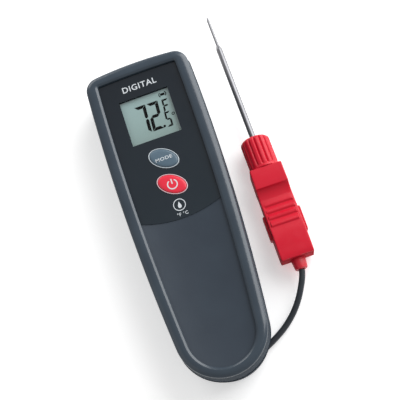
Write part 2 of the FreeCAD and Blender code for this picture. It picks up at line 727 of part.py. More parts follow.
# ---- probe ---------------------------------------------------------------------------------------------------
def grip_profile():
    """Half-heights of the grip from the collar down: block, slope, waist and rising steps."""
    points = [(COLLAR_Y[0], GRIP_HALF_HEIGHT), (BLOCK_END_Y, GRIP_HALF_HEIGHT), (WAIST_Y, WAIST_HALF_HEIGHT)]
    rise = (GRIP_HALF_HEIGHT - WAIST_HALF_HEIGHT) / len(GRIP_STEPS)
    height = WAIST_HALF_HEIGHT
    for y in GRIP_STEPS:
        points.append((y, height))
        height += rise
        points.append((y, height))
    points.append((GRIP_END_Y, GRIP_HALF_HEIGHT))
    return points


def grip_body():
    """The whole grip before it is split: stepped profile, rounded plan corners and side lugs."""
    half = grip_profile()
    loop = [V(-GRIP_HALF_WIDTH, y, PROBE_AXIS_Z + h) for y, h in half]
    loop += [V(-GRIP_HALF_WIDTH, y, PROBE_AXIS_Z - h) for y, h in reversed(half)]
    profile = Part.Face(Part.makePolygon(loop + loop[:1]))
    body = profile.extrude(V(2 * GRIP_HALF_WIDTH, 0, 0))
    corners = [e for e in body.Edges if e.BoundBox.ZLength > GRIP_HALF_HEIGHT]
    body = body.makeFillet(GRIP_CORNER, corners)
    lugs = block(2 * LUG_OUT, LUG_Y[1] - LUG_Y[0], PROBE_AXIS_Z - LUG_HALF_HEIGHT,
                 PROBE_AXIS_Z + LUG_HALF_HEIGHT, 0, sum(LUG_Y) / 2)
    lugs = lugs.makeFillet(1.2, [e for e in lugs.Edges if e.BoundBox.ZLength > 1])
    body = body.fuse(lugs)
    return body.cut([rod(HANDLE_BORE, GRIP_END_Y + 1.6, COLLAR_Y[0]),
                     rod(BOOT_RADII[0] + RUN_GAP, GRIP_END_Y, GRIP_END_Y + 1.6)])


def handle_half(top):
    """The upper or the lower half of the grip."""
    low = PROBE_AXIS_Z if top else PROBE_AXIS_Z - 20
    return grip_body().common(block(60, 200, low, low + 20))


def probe_collar():
    """The fluted round collar in front of the grip."""
    low, high = COLLAR_Y
    body = rod(COLLAR_RADIUS, low, high)
    nose = [e for e in body.Edges if e.BoundBox.YMin > high - 0.01]
    body = body.makeFillet(COLLAR_NOSE, nose)
    grooves = []
    for i in range(FLUTES):
        angle = math.radians(360 * (i + 0.5) / FLUTES)
        out = COLLAR_RADIUS + FLUTE_RADIUS * 0.35
        grooves.append(rod(FLUTE_RADIUS, low + COLLAR_RING, high, out * math.cos(angle),
                           PROBE_AXIS_Z + out * math.sin(angle)))
    grooves.append(rod(HANDLE_BORE, low, FERRULE_Y[1]))
    grooves.append(rod(STEM_RADIUS + RUN_GAP, low, high))
    return body.cut(grooves)


def stem_ferrule():
    """The metal sleeve that joins the stem to the handle."""
    return rod(HANDLE_BORE - RUN_GAP, *FERRULE_Y).cut(rod(STEM_RADIUS, *FERRULE_Y))


def probe_stem():
    """The hollow steel stem with its reduced, pointed tip."""
    start = FERRULE_Y[0]
    outer = [
        rod(STEM_RADIUS, start, STEP_Y),
        cone(STEM_RADIUS, TIP_RADIUS, STEP_Y, STEP_Y + STEP_LENGTH),
        rod(TIP_RADIUS, STEP_Y + STEP_LENGTH, TIP_Y - TIP_POINT),
        cone(TIP_RADIUS, 0.12, TIP_Y - TIP_POINT, TIP_Y),
    ]
    hollow = [rod(STEM_BORE, start, STEP_Y - 1), rod(TIP_BORE, STEP_Y - 1, TIP_Y - TIP_POINT - 0.5)]
    return joined(outer).cut(hollow)


def thermistor_bead():
    """The sensing bead at the end of the tip's bore."""
    end = TIP_Y - TIP_POINT - 0.6
    return rod(TIP_BORE - 0.05, end - 3, end)


def bead_wires():
    """Two fine wires from the bead to the cord."""
    end = TIP_Y - TIP_POINT - 3.6
    return Part.makeCompound([rod(0.14, FERRULE_Y[0], end, side * 0.2) for side in (-1, 1)])


def probe_potting():
    """The cast resin that seals the joint of wires and cord."""
    return rod(HANDLE_BORE - RUN_GAP, *POTTING_Y)


def inner_lead():
    """The end of the cord inside the handle."""
    return rod(CORD_RADIUS, BOOT_TIP_Y + 1.5, POTTING_Y[0])


def probe_boot():
    """The tapered boot, with a round end where the cord leaves it."""
    root = GRIP_END_Y + 1.6
    boot = joined([
        rod(HANDLE_BORE - RUN_GAP, root, root + BOOT_INSIDE),
        rod(BOOT_RADII[0], GRIP_END_Y, root),
        cone(BOOT_RADII[1], BOOT_RADII[0], BOOT_TIP_Y, GRIP_END_Y),
        Part.makeSphere(BOOT_RADII[1], V(0, BOOT_TIP_Y, PROBE_AXIS_Z)),
    ])
    return boot.cut(rod(CORD_RADIUS, BOOT_TIP_Y + 1.5, root + BOOT_INSIDE))


def in_place(shape):
    """Moves a probe piece from the probe's own frame to where it lies."""
    shape = shape.copy()
    shape.translate(V(PROBE_PIVOT[0], 0, 0))
    shape.rotate(V(*PROBE_PIVOT, 0), V(0, 0, 1), PROBE_YAW_DEG)
    return shape


# ---- all of it -----------------------------------------------------------------------------------------------
METER = {
    "front_housing": front_housing,
    "rear_housing": rear_housing,
    "housing_gasket": housing_gasket,
    "housing_screws": housing_screws,
    "face_label": face_label,
    "lcd_window": lcd_window,
    "lcd_glass": lcd_glass,
    "lcd_frame": lcd_frame,
    "lcd_backing": lcd_backing,
    "zebra_strips": zebra_strips,
    "circuit_board": circuit_board,
    "board_screws": board_screws,
    "processor_chip": processor_chip,
    "timing_crystal": timing_crystal,
    "lead_connector": lead_connector,
    "sensor_leads": sensor_leads,
    "function_button": lambda: button(FUNCTION_Y),
    "function_plunger": lambda: plunger(FUNCTION_Y),
    "function_switch": lambda: push_switch(FUNCTION_Y),
    "function_ring": lambda: button_ring(FUNCTION_Y),
    "power_button": lambda: button(POWER_Y),
    "power_plunger": lambda: plunger(POWER_Y),
    "power_switch": lambda: push_switch(POWER_Y),
    "power_ring": lambda: button_ring(POWER_Y),
    "battery_cap": battery_cap,
    "battery_seal": battery_seal,
    "battery_holder": battery_holder,
    "battery_contacts": battery_contacts,
    "coin_cell": coin_cell,
    "cord_gland": cord_gland,
    "cord_tail": cord_tail,
    "cord_hank": cord_hank,
    "cord_ties": cord_ties,
    "probe_cord": probe_cord,
}
PROBE = {
    "handle_top": lambda: handle_half(True),
    "handle_bottom": lambda: handle_half(False),
    "probe_collar": probe_collar,
    "probe_boot": probe_boot,
    "probe_stem": probe_stem,
    "stem_ferrule": stem_ferrule,
    "probe_potting": probe_potting,
    "inner_lead": inner_lead,
    "thermistor_bead": thermistor_bead,
    "bead_wires": bead_wires,
}


def main():
    """Builds every sub-part and writes one STEP file for each."""
    os.makedirs("parts", exist_ok=True)
    shapes = {name: make() for name, make in METER.items()}
    shapes.update({name: in_place(make()) for name, make in PROBE.items()})
    for name, shape in shapes.items():
        if not shape.isValid() or shape.Volume <= 0:
            raise ValueError(f"{name} is not a sound solid")
        shape.exportStep(f"parts/{name}.step")
        print(f"{name}: {len(shape.Solids)} solid(s), {shape.Volume:.1f} mm3")


main()
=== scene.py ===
"""A digital meat thermometer: a tapered slate meter on its back, with a red-handled probe on a cord.

Sizes are in millimetres until a mesh is made. The frame is the meter's own: the origin on its flat back, +Y
up to the display end, +X towards the probe and +Z out of the face.
"""

import logging
import math
from dataclasses import dataclass
from enum import Enum
from typing import Callable, Iterable, Sequence

import bpy
from mathutils import Matrix, Vector

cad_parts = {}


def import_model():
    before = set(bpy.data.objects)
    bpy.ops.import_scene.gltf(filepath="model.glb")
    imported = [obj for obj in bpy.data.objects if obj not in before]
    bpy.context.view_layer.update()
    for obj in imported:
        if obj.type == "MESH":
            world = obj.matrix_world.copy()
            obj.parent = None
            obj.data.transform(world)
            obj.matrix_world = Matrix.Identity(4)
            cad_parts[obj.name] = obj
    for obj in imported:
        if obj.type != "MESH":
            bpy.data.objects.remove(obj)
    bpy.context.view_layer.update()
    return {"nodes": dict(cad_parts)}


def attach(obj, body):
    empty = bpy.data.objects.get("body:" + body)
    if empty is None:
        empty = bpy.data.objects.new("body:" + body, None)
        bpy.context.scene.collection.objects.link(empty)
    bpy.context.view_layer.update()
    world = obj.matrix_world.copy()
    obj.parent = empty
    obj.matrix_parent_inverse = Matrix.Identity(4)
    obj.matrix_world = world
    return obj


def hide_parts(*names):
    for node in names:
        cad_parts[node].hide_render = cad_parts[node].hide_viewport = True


MM = 0.001
MERGE_DISTANCE = 1e-7
SMOOTH_ANGLE = math.radians(32)
WHITE = (1.0, 1.0, 1.0, 1.0)
LOG = logging.getLogger("thermometer")

Plan = tuple[float, float]
Place = tuple[float, float, float]
Ring = list[Place]
Piece = bpy.types.Object
Socket = bpy.types.NodeSocket


class Body(str, Enum):
    """The moving bodies that pieces ride on."""

    METER = "meter"
    FUNCTION_KEY = "function_key"
    POWER_KEY = "power_key"
    PROBE = "probe"


class Ends(Enum):
    """How the two ends of a skin are finished."""

    CAPPED = "capped"
    LOOPED = "looped"


# Finishes.
def linear(code: str) -> tuple[float, float, float, float]:
    """Turns a six-digit sRGB code into linear colour.

    Args:
        code: Six hexadecimal digits.

    Returns:
        Red, green, blue and a full alpha.
    """
    values = []
    for start in (0, 2, 4):
        level = int(code[start:start + 2], 16) / 255
        values.append(level / 12.92 if level <= 0.04045 else ((level + 0.055) / 1.055) ** 2.4)
    return (values[0], values[1], values[2], 1.0)


def adjust(thing: object, **settings: object) -> None:
    """Sets several attributes of a thing at once."""
    for key, value in settings.items():
        setattr(thing, key, value)


def arc(centre: Plan, radius: float, start: float, end: float, steps: int, flat: float = 1.0) -> list[Plan]:
    """Samples an arc in even steps, ends included: angles in degrees, flat a factor on the second axis."""
    angles = [math.radians(start + (end - start) * i / steps) for i in range(steps + 1)]
    return [(centre[0] + radius * math.cos(a), centre[1] + radius * flat * math.sin(a)) for a in angles]


def band(centre: Plan, radius: float, width: float, start: float, end: float, steps: int) -> list[Plan]:
    """The outline of a flat curved band about a middle radius, between two angles in degrees."""
    half = width / 2
    return arc(centre, radius + half, start, end, steps) + arc(centre, radius - half, end, start, steps)


class Graph:
    """Adds and links the nodes of one material."""

    def __init__(self, name: str) -> None:
        """Starts an empty material of that name."""
        self.material = bpy.data.materials.new(name)
        self.material.use_nodes = True
        self.tree = self.material.node_tree
        self.tree.nodes.clear()
        self.output = self.add("ShaderNodeOutputMaterial")

    def add(self, kind: str, **settings: object) -> bpy.types.Node:
        """Adds a node.

        Args:
            kind: The node's type name.
            settings: Attributes of the node, or default values of its sockets where it has no such attribute.

        Returns:
            The new node.
        """
        node = self.tree.nodes.new(kind)
        for key, value in settings.items():
            if hasattr(node, key):
                setattr(node, key, value)
            else:
                node.inputs[key.replace("_", " ")].default_value = value
        return node

    def link(self, source: Socket, node: bpy.types.Node, socket: str | int) -> None:
        """Joins an output to a node's input."""
        self.tree.links.new(source, node.inputs[socket])

    def noise(self, scale: float, detail: float = 3.0,
              stretch: Place = (1.0, 1.0, 1.0)) -> Socket:
        """Adds a noise pattern on the object's own coordinates.

        Args:
            scale: Features per metre.
            detail: Octaves of the noise.
            stretch: Factors on the three axes.

        Returns:
            The pattern's value.
        """
        place = self.add("ShaderNodeTexCoord")
        mapping = self.add("ShaderNodeMapping", Scale=stretch)
        pattern = self.add("ShaderNodeTexNoise", Scale=scale, Detail=detail)
        self.link(place.outputs["Object"], mapping, "Vector")
        self.link(mapping.outputs["Vector"], pattern, "Vector")
        return pattern.outputs["Fac"]

    def between(self, value: Socket, low: float, high: float,
                source: Plan = (0.3, 0.7)) -> Socket:
        """Maps a pattern to a range.

        Args:
            value: The pattern.
            low: What the low end becomes.
            high: What the high end becomes.
            source: The part of the pattern's range that is used.

        Returns:
            The mapped value.
        """
        node = self.add("ShaderNodeMapRange", From_Min=source[0], From_Max=source[1],
                        To_Min=low, To_Max=high)
        self.link(value, node, "Value")
        return node.outputs["Result"]

    def blend(self, factor: Socket, first: tuple, second: tuple) -> Socket:
        """Mixes two colours by a pattern.

        Args:
            factor: The pattern.
            first: The colour at 0.
            second: The colour at 1.

        Returns:
            The mixed colour.
        """
        node = self.add("ShaderNodeMix", data_type="RGBA")
        node.inputs[6].default_value = first
        node.inputs[7].default_value = second
        self.link(factor, node, 0)
        return node.outputs[2]


@dataclass(frozen=True)
class Finish:
    """A moulded, rubber or printed surface.

    The colour drifts a little over the surface, the gloss is uneven and a fine grain breaks up the highlight.
    """

    name: str
    colour: str
    drift: str
    roughness: float
    drift_scale: float = 45.0
    gloss_rate: float = 6.0
    gloss_spread: float = 0.06
    grain_scale: float = 2600.0
    grain_depth: float = 0.00001
    grain_strength: float = 0.35
    specular: float = 0.5
    coat: float = 0.0
    coat_roughness: float = 0.1
    metallic: float = 0.0
    stretch: Place = (1.0, 1.0, 1.0)
    edge: float = 0.0
    sheen: float = 0.0
    scatter: float = 0.0
    scatter_reach: Place = (1.0, 0.2, 0.1)
    scatter_scale: float = 0.0012
    glow: float = 0.0

    def material(self) -> bpy.types.Material:
        """Builds the finish's node material.

        Returns:
            The material.
        """
        graph = Graph(self.name)
        shader = graph.add("ShaderNodeBsdfPrincipled", Metallic=self.metallic,
                           Specular_IOR_Level=self.specular,
                           Coat_Weight=self.coat, Coat_Roughness=self.coat_roughness,
                           Sheen_Weight=self.sheen, Emission_Color=WHITE, Emission_Strength=self.glow,
                           Subsurface_Weight=self.scatter, Subsurface_Radius=self.scatter_reach,
                           Subsurface_Scale=self.scatter_scale)
        self.colour_in(graph, shader)
        patches = graph.noise(self.drift_scale * self.gloss_rate)
        gloss = graph.between(patches, self.roughness - self.gloss_spread, self.roughness + self.gloss_spread)
        graph.link(gloss, shader, "Roughness")
        bump = graph.add("ShaderNodeBump", Strength=self.grain_strength, Distance=self.grain_depth)
        graph.link(graph.noise(self.grain_scale, 2.0, self.stretch), bump, "Height")
        if self.edge > 0:
            bevel = graph.add("ShaderNodeBevel", samples=6, Radius=self.edge)
            graph.link(bevel.outputs["Normal"], bump, "Normal")
        graph.link(bump.outputs["Normal"], shader, "Normal")
        graph.link(shader.outputs["BSDF"], graph.output, "Surface")
        return graph.material

    def colour_in(self, graph: Graph, shader: bpy.types.Node) -> None:
        """Links the surface's colour to its shader."""
        factor = graph.between(graph.noise(self.drift_scale), 0.0, 1.0)
        graph.link(graph.blend(factor, linear(self.colour), linear(self.drift)), shader, "Base Color")


@dataclass(frozen=True)
class Graded(Finish):
    """A surface whose colour runs from one shade to another along a line, such as a display film, where the
    run is painted light and shade.
    """

    start: Place = (0.0, 0.0, 0.0)
    end: Place = (0.0, 1.0, 0.0)
    waver: float = 0.06

    def colour_in(self, graph: Graph, shader: bpy.types.Node) -> None:
        """Links a colour that runs along the line from start to end.

        Args:
            graph: The material's graph.
            shader: The surface shader.
        """
        start = Vector(self.start) * MM
        run = Vector(self.end) * MM - start
        place = graph.add("ShaderNodeTexCoord")
        offset = graph.add("ShaderNodeVectorMath", operation="SUBTRACT")
        offset.inputs[1].default_value = start
        along = graph.add("ShaderNodeVectorMath", operation="DOT_PRODUCT")
        along.inputs[1].default_value = run / run.length_squared
        graph.link(place.outputs["Object"], offset, 0)
        graph.link(offset.outputs["Vector"], along, 0)
        drift = graph.between(graph.noise(self.drift_scale), -self.waver, self.waver)
        total = graph.add("ShaderNodeMath", operation="ADD", use_clamp=True)
        graph.link(along.outputs["Value"], total, 0)
        graph.link(drift, total, 1)
        colour = graph.blend(total.outputs["Value"], linear(self.colour), linear(self.drift))
        graph.link(colour, shader, "Base Color")


@dataclass(frozen=True)
class ClearPane:
    """A thin clear pane: it lets light straight through and adds a faint reflection."""

    name: str
    reflection: float = 0.2
    smear: Plan = (0.045, 0.055)
    smear_scale: float = 60.0
    refraction: float = 1.45

    def material(self) -> bpy.types.Material:
        """Builds the finish's node material.

        Returns:
            The material.
        """
        graph = Graph(self.name)
        clear = graph.add("ShaderNodeBsdfTransparent")
        gloss = graph.add("ShaderNodeBsdfGlossy")
        graph.link(graph.between(graph.noise(self.smear_scale), *self.smear), gloss, "Roughness")
        edge = graph.add("ShaderNodeFresnel", IOR=self.refraction)
        weight = graph.add("ShaderNodeMath", operation="MULTIPLY")
        weight.inputs[1].default_value = self.reflection
        graph.link(edge.outputs["Fac"], weight, 0)
        mix = graph.add("ShaderNodeMixShader")
        graph.link(weight.outputs["Value"], mix, "Fac")
        graph.link(clear.outputs["BSDF"], mix, 1)
        graph.link(gloss.outputs["BSDF"], mix, 2)
        graph.link(mix.outputs["Shader"], graph.output, "Surface")
        return graph.material


class Palette:
    """The object's finishes, each made once."""

    CASE = Finish("case_slate", "303b46", "37434e", 0.25, specular=0.6, gloss_spread=0.02)
    PANEL = Finish("panel_slate", "2f3843", "333d48", 0.42, specular=0.4, gloss_spread=0.015)
    # The front shell's outer wall: a matte slate whose darker colour is painted shade.
    SHADED_SIDE = Finish("shaded_side_slate", "2a333c", "313b45", 0.62, specular=0.1, gloss_spread=0.02,
                  grain_scale=1500.0, grain_depth=0.00003, grain_strength=0.5)
    # The rear shell's own matte finish, with its slate darkened as painted shade.
    SHADED_BACK = Finish("shaded_back_slate", "28313a", "2f3943", 0.58, edge=0.0003, gloss_spread=0.02, specular=0.12)
    LABEL = Graded("label_gloss", "161d25", "1d272f", 0.2, grain_strength=0.03, gloss_spread=0.03,
                   start=(0, 82, 24), end=(0, -4, 24))
    PRINT = Finish("white_print", "d9dee2", "c9d0d5", 0.45, grain_strength=0.1)
    SILVER = Finish("silver_print", "b4c0c8", "c8d1d7", 0.34, metallic=0.1, grain_strength=0.2)
    PINK_SILVER = Finish("warm_silver_print", "dcb8bf", "e6ccd1", 0.34, metallic=0.1, grain_strength=0.2)
    KEY_SLATE = Finish("key_slate", "4a5e6d", "556a79", 0.38, grain_strength=0.25)
    KEY_RED = Finish("key_red", "e0243c", "ea3048", 0.36, grain_strength=0.25)
    # The display film: lighter at the top and darker at the bottom as painted light and shade, with a faint
    # painted glow that lifts it against the window's shadow.
    FILM = Graded("display_film_painted_light", "8daaa9", "78938f", 0.5, grain_strength=0.05, drift_scale=30.0, glow=0.06,
                  start=(-4, 68, 21), end=(4, 43, 21))
    SEGMENT = Finish("display_segment", "030405", "050607", 0.45, grain_strength=0.05, specular=0.1)
    FRAME = Finish("display_frame", "23292e", "2a3036", 0.5)
    PANE = ClearPane("clear_pane")
    RED = Finish("grip_red", "c50f28", "cd1930", 0.34, specular=0.3, scatter=0.03, grain_strength=0.3)
    # A matte copy of the grip red for the grip's steep side faces, darker as painted shade.
    RED_SHADED_SIDE = Finish("grip_red_shaded_side", "a80b1e", "b21226", 0.6, specular=0.08, grain_strength=0.3)
    BOOT = Finish("boot_red", "c8142a", "d02034", 0.4, scatter=0.04)
    STEEL = Finish("stem_steel", "7b7b7e", "858588", 0.36, metallic=1.0, grain_scale=900.0,
                   stretch=(6.0, 0.35, 6.0), grain_strength=0.05, gloss_spread=0.03)
    JACKET = Finish("cord_jacket", "272b30", "2f343a", 0.44, specular=0.4, grain_scale=1800.0)
    STRAP = Finish("strap_weave", "17191b", "202326", 0.85, grain_scale=3500.0, grain_depth=0.00008,
                   grain_strength=0.9, sheen=0.3)
    SCREW = Finish("screw_steel", "a5a6a8", "babbbd", 0.3, metallic=1.0, edge=0.0001)
    CELL = Finish("cell_steel", "b4b5b6", "c6c7c8", 0.2, metallic=1.0)
    BOARD = Finish("solder_mask", "0f3d22", "14502c", 0.35, coat=0.3)
    CHIP = Finish("chip_epoxy", "17181a", "1f2022", 0.55)
    NATURAL = Finish("natural_nylon", "c8c2b0", "d4cfbf", 0.5)
    RUBBER = Finish("seal_rubber", "141516", "1c1d1e", 0.6)
    BRASS = Finish("contact_brass", "b79a55", "c8ac66", 0.28, metallic=1.0)
    LEAD = Finish("lead_insulation", "7c1a1c", "8a2224", 0.45)
    FLOOR = Finish("pale_floor", "f2f2f2", "f4f4f4", 0.9, grain_strength=0.0, specular=0.1, glow=0.4)
    RESIN = Finish("cast_resin", "2a2621", "332e28", 0.3)

    _made: dict[str, bpy.types.Material] = {}

    @classmethod
    def get(cls, finish: Finish | ClearPane) -> bpy.types.Material:
        """Gives a finish's material, made the first time it is asked for.

        Args:
            finish: One of the finishes above.

        Returns:
            The material.
        """
        if finish.name not in cls._made:
            cls._made[finish.name] = finish.material()
        return cls._made[finish.name]


# The bench: modelling moves that several pieces share.
class Bench:
    """Modelling moves that several pieces share."""

    @staticmethod
    def named(name: str) -> Piece:
        """Names the active piece and its mesh."""
        piece = bpy.context.object
        piece.name = piece.data.name = name
        return piece

    @staticmethod
    def clear() -> None:
        """Deselects everything."""
        bpy.ops.object.select_all(action="DESELECT")

    @staticmethod
    def take(piece: Piece) -> None:
        """Makes a piece the only one selected, and the active one."""
        Bench.clear()
        piece.select_set(True)
        bpy.context.view_layer.objects.active = piece

    @staticmethod
    def skin(name: str, rings: Sequence[Ring], ends: Ends = Ends.CAPPED) -> Piece:
        """Lays a closed skin over rings that all have the same number of points.

        Args:
            name: The piece's name.
            rings: The rings in order, in millimetres.
            ends: Capped by a flat face at both ends, or looped back to the first ring.

        Returns:
            The piece.
        """
        rings = list(rings) + ([rings[0]] if ends is Ends.LOOPED else [])
        around = len(rings[0])
        along = len(rings) - 1
        Bench.clear()
        bpy.ops.mesh.primitive_grid_add(x_subdivisions=around, y_subdivisions=along, size=1)
        piece = Bench.named(name)
        for vertex in piece.data.vertices:
            column = round((vertex.co.x + 0.5) * around) % around
            row = round((vertex.co.y + 0.5) * along)
            vertex.co = Vector(rings[row][column]) * MM
        bpy.ops.object.mode_set(mode="EDIT")
        bpy.ops.mesh.select_all(action="SELECT")
        bpy.ops.mesh.remove_doubles(threshold=MERGE_DISTANCE)
        if ends is Ends.CAPPED:
            bpy.ops.mesh.fill_holes(sides=0)
            bpy.ops.mesh.select_all(action="SELECT")
        bpy.ops.mesh.normals_make_consistent(inside=False)
        bpy.ops.object.mode_set(mode="OBJECT")
        bpy.ops.object.shade_smooth_by_angle(angle=SMOOTH_ANGLE)
        return piece

    @staticmethod
    def plate(name: str, outline: Sequence[Plan], low: float, high: float) -> Piece:
        """Makes a flat plate of any outline, from one height to another."""
        return Bench.skin(name, [[(x, y, z) for x, y in outline] for z in (low, high)])

    @staticmethod
    def change(piece: Piece, kind: str, **settings: object) -> None:
        """Adds a modifier and applies it.

        Args:
            piece: The piece to change.
            kind: The modifier's type name.
            settings: The modifier's settings.
        """
        Bench.take(piece)
        bpy.ops.object.modifier_add(type=kind)
        modifier = piece.modifiers[-1]
        adjust(modifier, **settings)
        bpy.ops.object.modifier_apply(modifier=modifier.name)

    @staticmethod
    def carve(piece: Piece, cutters: Iterable[Piece]) -> None:
        """Cuts pieces away from another and removes the cutters.

        Args:
            piece: The piece to cut.
            cutters: What is cut out of it.
        """
        for cutter in cutters:
            Bench.change(piece, "BOOLEAN", operation="DIFFERENCE", solver="EXACT", object=cutter)
            bpy.data.objects.remove(cutter, do_unlink=True)
        Bench.take(piece)
        bpy.ops.object.shade_smooth_by_angle(angle=SMOOTH_ANGLE)

    @staticmethod
    def join(name: str, pieces: Sequence[Piece]) -> Piece:
        """Joins pieces into one.

        Args:
            name: The joined piece's name.
            pieces: The pieces.

        Returns:
            The joined piece.
        """
        Bench.take(pieces[0])
        for piece in pieces:
            piece.select_set(True)
        bpy.ops.object.join()
        return Bench.named(name)

    @staticmethod
    def lettering(name: str, words: str, size: float, centre: Place, thickness: float = 0.02,
                  stretch: float = 1.0) -> Piece:
        """Sets generic words as thin raised print.

        Args:
            name: The piece's name.
            words: The words.
            size: The letters' size.
            centre: Where the middle of the words goes.
            thickness: Height of the print.
            stretch: Extra width of the letters.

        Returns:
            The piece, as a mesh.
        """
        Bench.clear()
        bpy.ops.object.text_add()
        weight = 0.012
        adjust(bpy.context.object.data, body=words, align_x="CENTER", align_y="CENTER", size=size * MM,
               offset=weight * size * MM, space_character=1.12, extrude=thickness * MM / 2)
        bpy.ops.object.convert(target="MESH")
        piece = Bench.named(name)
        piece.data.transform(Matrix.Diagonal((stretch, 1, 1, 1)))
        piece.data.transform(Matrix.Translation(Vector(centre) * MM))
        return piece

    @staticmethod
    def dress(finish: Finish | ClearPane, *pieces: Piece) -> None:
        """Gives pieces one finish all over."""
        for piece in pieces:
            piece.data.materials.clear()
            piece.data.materials.append(Palette.get(finish))

    @staticmethod
    def part_finish(piece: Piece, finish: Finish, chosen: Callable[[bpy.types.MeshPolygon], bool]) -> None:
        """Gives a piece's chosen faces a finish of their own.

        Args:
            piece: The piece.
            finish: Their finish.
            chosen: Says whether a face is one of them.
        """
        piece.data.materials.append(Palette.get(finish))
        for face in piece.data.polygons:
            if chosen(face):
                face.material_index = len(piece.data.materials) - 1

    @staticmethod
    def hand_over(piece: Piece, finish: Finish | ClearPane, body: Body, slot: str,
                  stands_for: Sequence[str] = ()) -> Piece:
        """Finishes a piece and hangs it on its body.

        Args:
            piece: The piece.
            finish: Its finish.
            body: The body it rides on.
            slot: The record's material slot it belongs to; not used.
            stands_for: The CAD nodes it replaces.

        Returns:
            The piece.
        """
        Bench.dress(finish, piece)
        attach(piece, body.value)
        if stands_for:
            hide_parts(*stands_for)
        LOG.info("%s: %d faces", piece.name, len(piece.data.polygons) if piece.type == "MESH" else 0)
        return piece


# Outlines.
@dataclass(frozen=True)
class Outline:
    """A long shape with shallow curved sides, an arched top and a round lower end."""

    half_width: float
    side_radius: float
    widest_y: float
    top_y: float
    top_radius: float
    top_corner: float
    foot_y: float
    steps: tuple[int, int, int, int] = (14, 10, 46, 26)

    @staticmethod
    def heading(start: Plan, end: Plan) -> float:
        """The direction from one point to another, in degrees."""
        return math.degrees(math.atan2(end[1] - start[1], end[0] - start[0]))

    @staticmethod
    def upper_meeting(first: Plan, first_radius: float, second: Plan, second_radius: float) -> Plan:
        """Finds the upper of the two points where two circles meet.

        Args:
            first: Centre of the first circle.
            first_radius: Its radius.
            second: Centre of the second circle.
            second_radius: Its radius.

        Returns:
            The meeting point.
        """
        gap = Vector(second) - Vector(first)
        along = (gap.length_squared + first_radius ** 2 - second_radius ** 2) / (2 * gap.length)
        across = math.sqrt(first_radius ** 2 - along ** 2)
        unit = gap.normalized()
        middle = Vector(first) + unit * along
        side = Vector((-unit.y, unit.x)) * across
        return tuple(max(middle + side, middle - side, key=lambda point: point.y))

    def arcs(self) -> list[tuple[Plan, float, float, float]]:
        """The right half, from the top's middle down, as arcs of (centre, radius, start, end)."""
        side = (self.half_width - self.side_radius, self.widest_y)
        top = (0.0, self.top_y - self.top_radius)
        corner = self.upper_meeting(side, self.side_radius - self.top_corner,
                                    top, self.top_radius - self.top_corner)
        reach = self.widest_y - self.foot_y
        end_radius = (self.side_radius ** 2 - side[0] ** 2 - reach ** 2) / (2 * (self.side_radius - reach))
        end = (0.0, self.foot_y + end_radius)
        side_start = self.heading(side, corner)
        side_end = self.heading(side, end)
        crown_end = self.heading(top, corner)
        return [(top, self.top_radius, 90.0, crown_end), (corner, self.top_corner, crown_end, side_start),
                (side, self.side_radius, side_start, side_end), (end, end_radius, side_end, -90.0)]

    def ring(self, inset: float, height: float) -> Ring:
        """The whole outline, moved inwards, at one height.

        Args:
            inset: How far inwards.
            height: Its height.

        Returns:
            The ring.
        """
        right = []
        for (centre, radius, start, end), steps in zip(self.arcs(), self.steps):
            right += arc(centre, radius - inset, start, end, steps)[:-1]
        foot = (0.0, self.foot_y + inset)
        left = [(-x, y) for x, y in reversed(right[1:])]
        return [(x, y, height) for x, y in right + [foot] + left]


@dataclass(frozen=True)
class Oval:
    """A tilted oval."""

    centre: Plan
    semi: Plan
    tilt: float
    count: int = 96

    def ring(self, grow: float, height: float, share: float = 1.0) -> Ring:
        """The oval grown by a margin and scaled, at one height.

        Args:
            grow: The margin.
            height: Its height.
            share: A scale about the middle.

        Returns:
            The ring.
        """
        wide = (self.semi[0] + grow) * share
        flat = (self.semi[1] + grow) / (self.semi[0] + grow)
        cosine, sine = math.cos(self.tilt), math.sin(self.tilt)
        return [(self.centre[0] + a * cosine - b * sine, self.centre[1] + a * sine + b * cosine, height)
                for a, b in arc((0.0, 0.0), wide, 0, 360, self.count, flat)[:-1]]


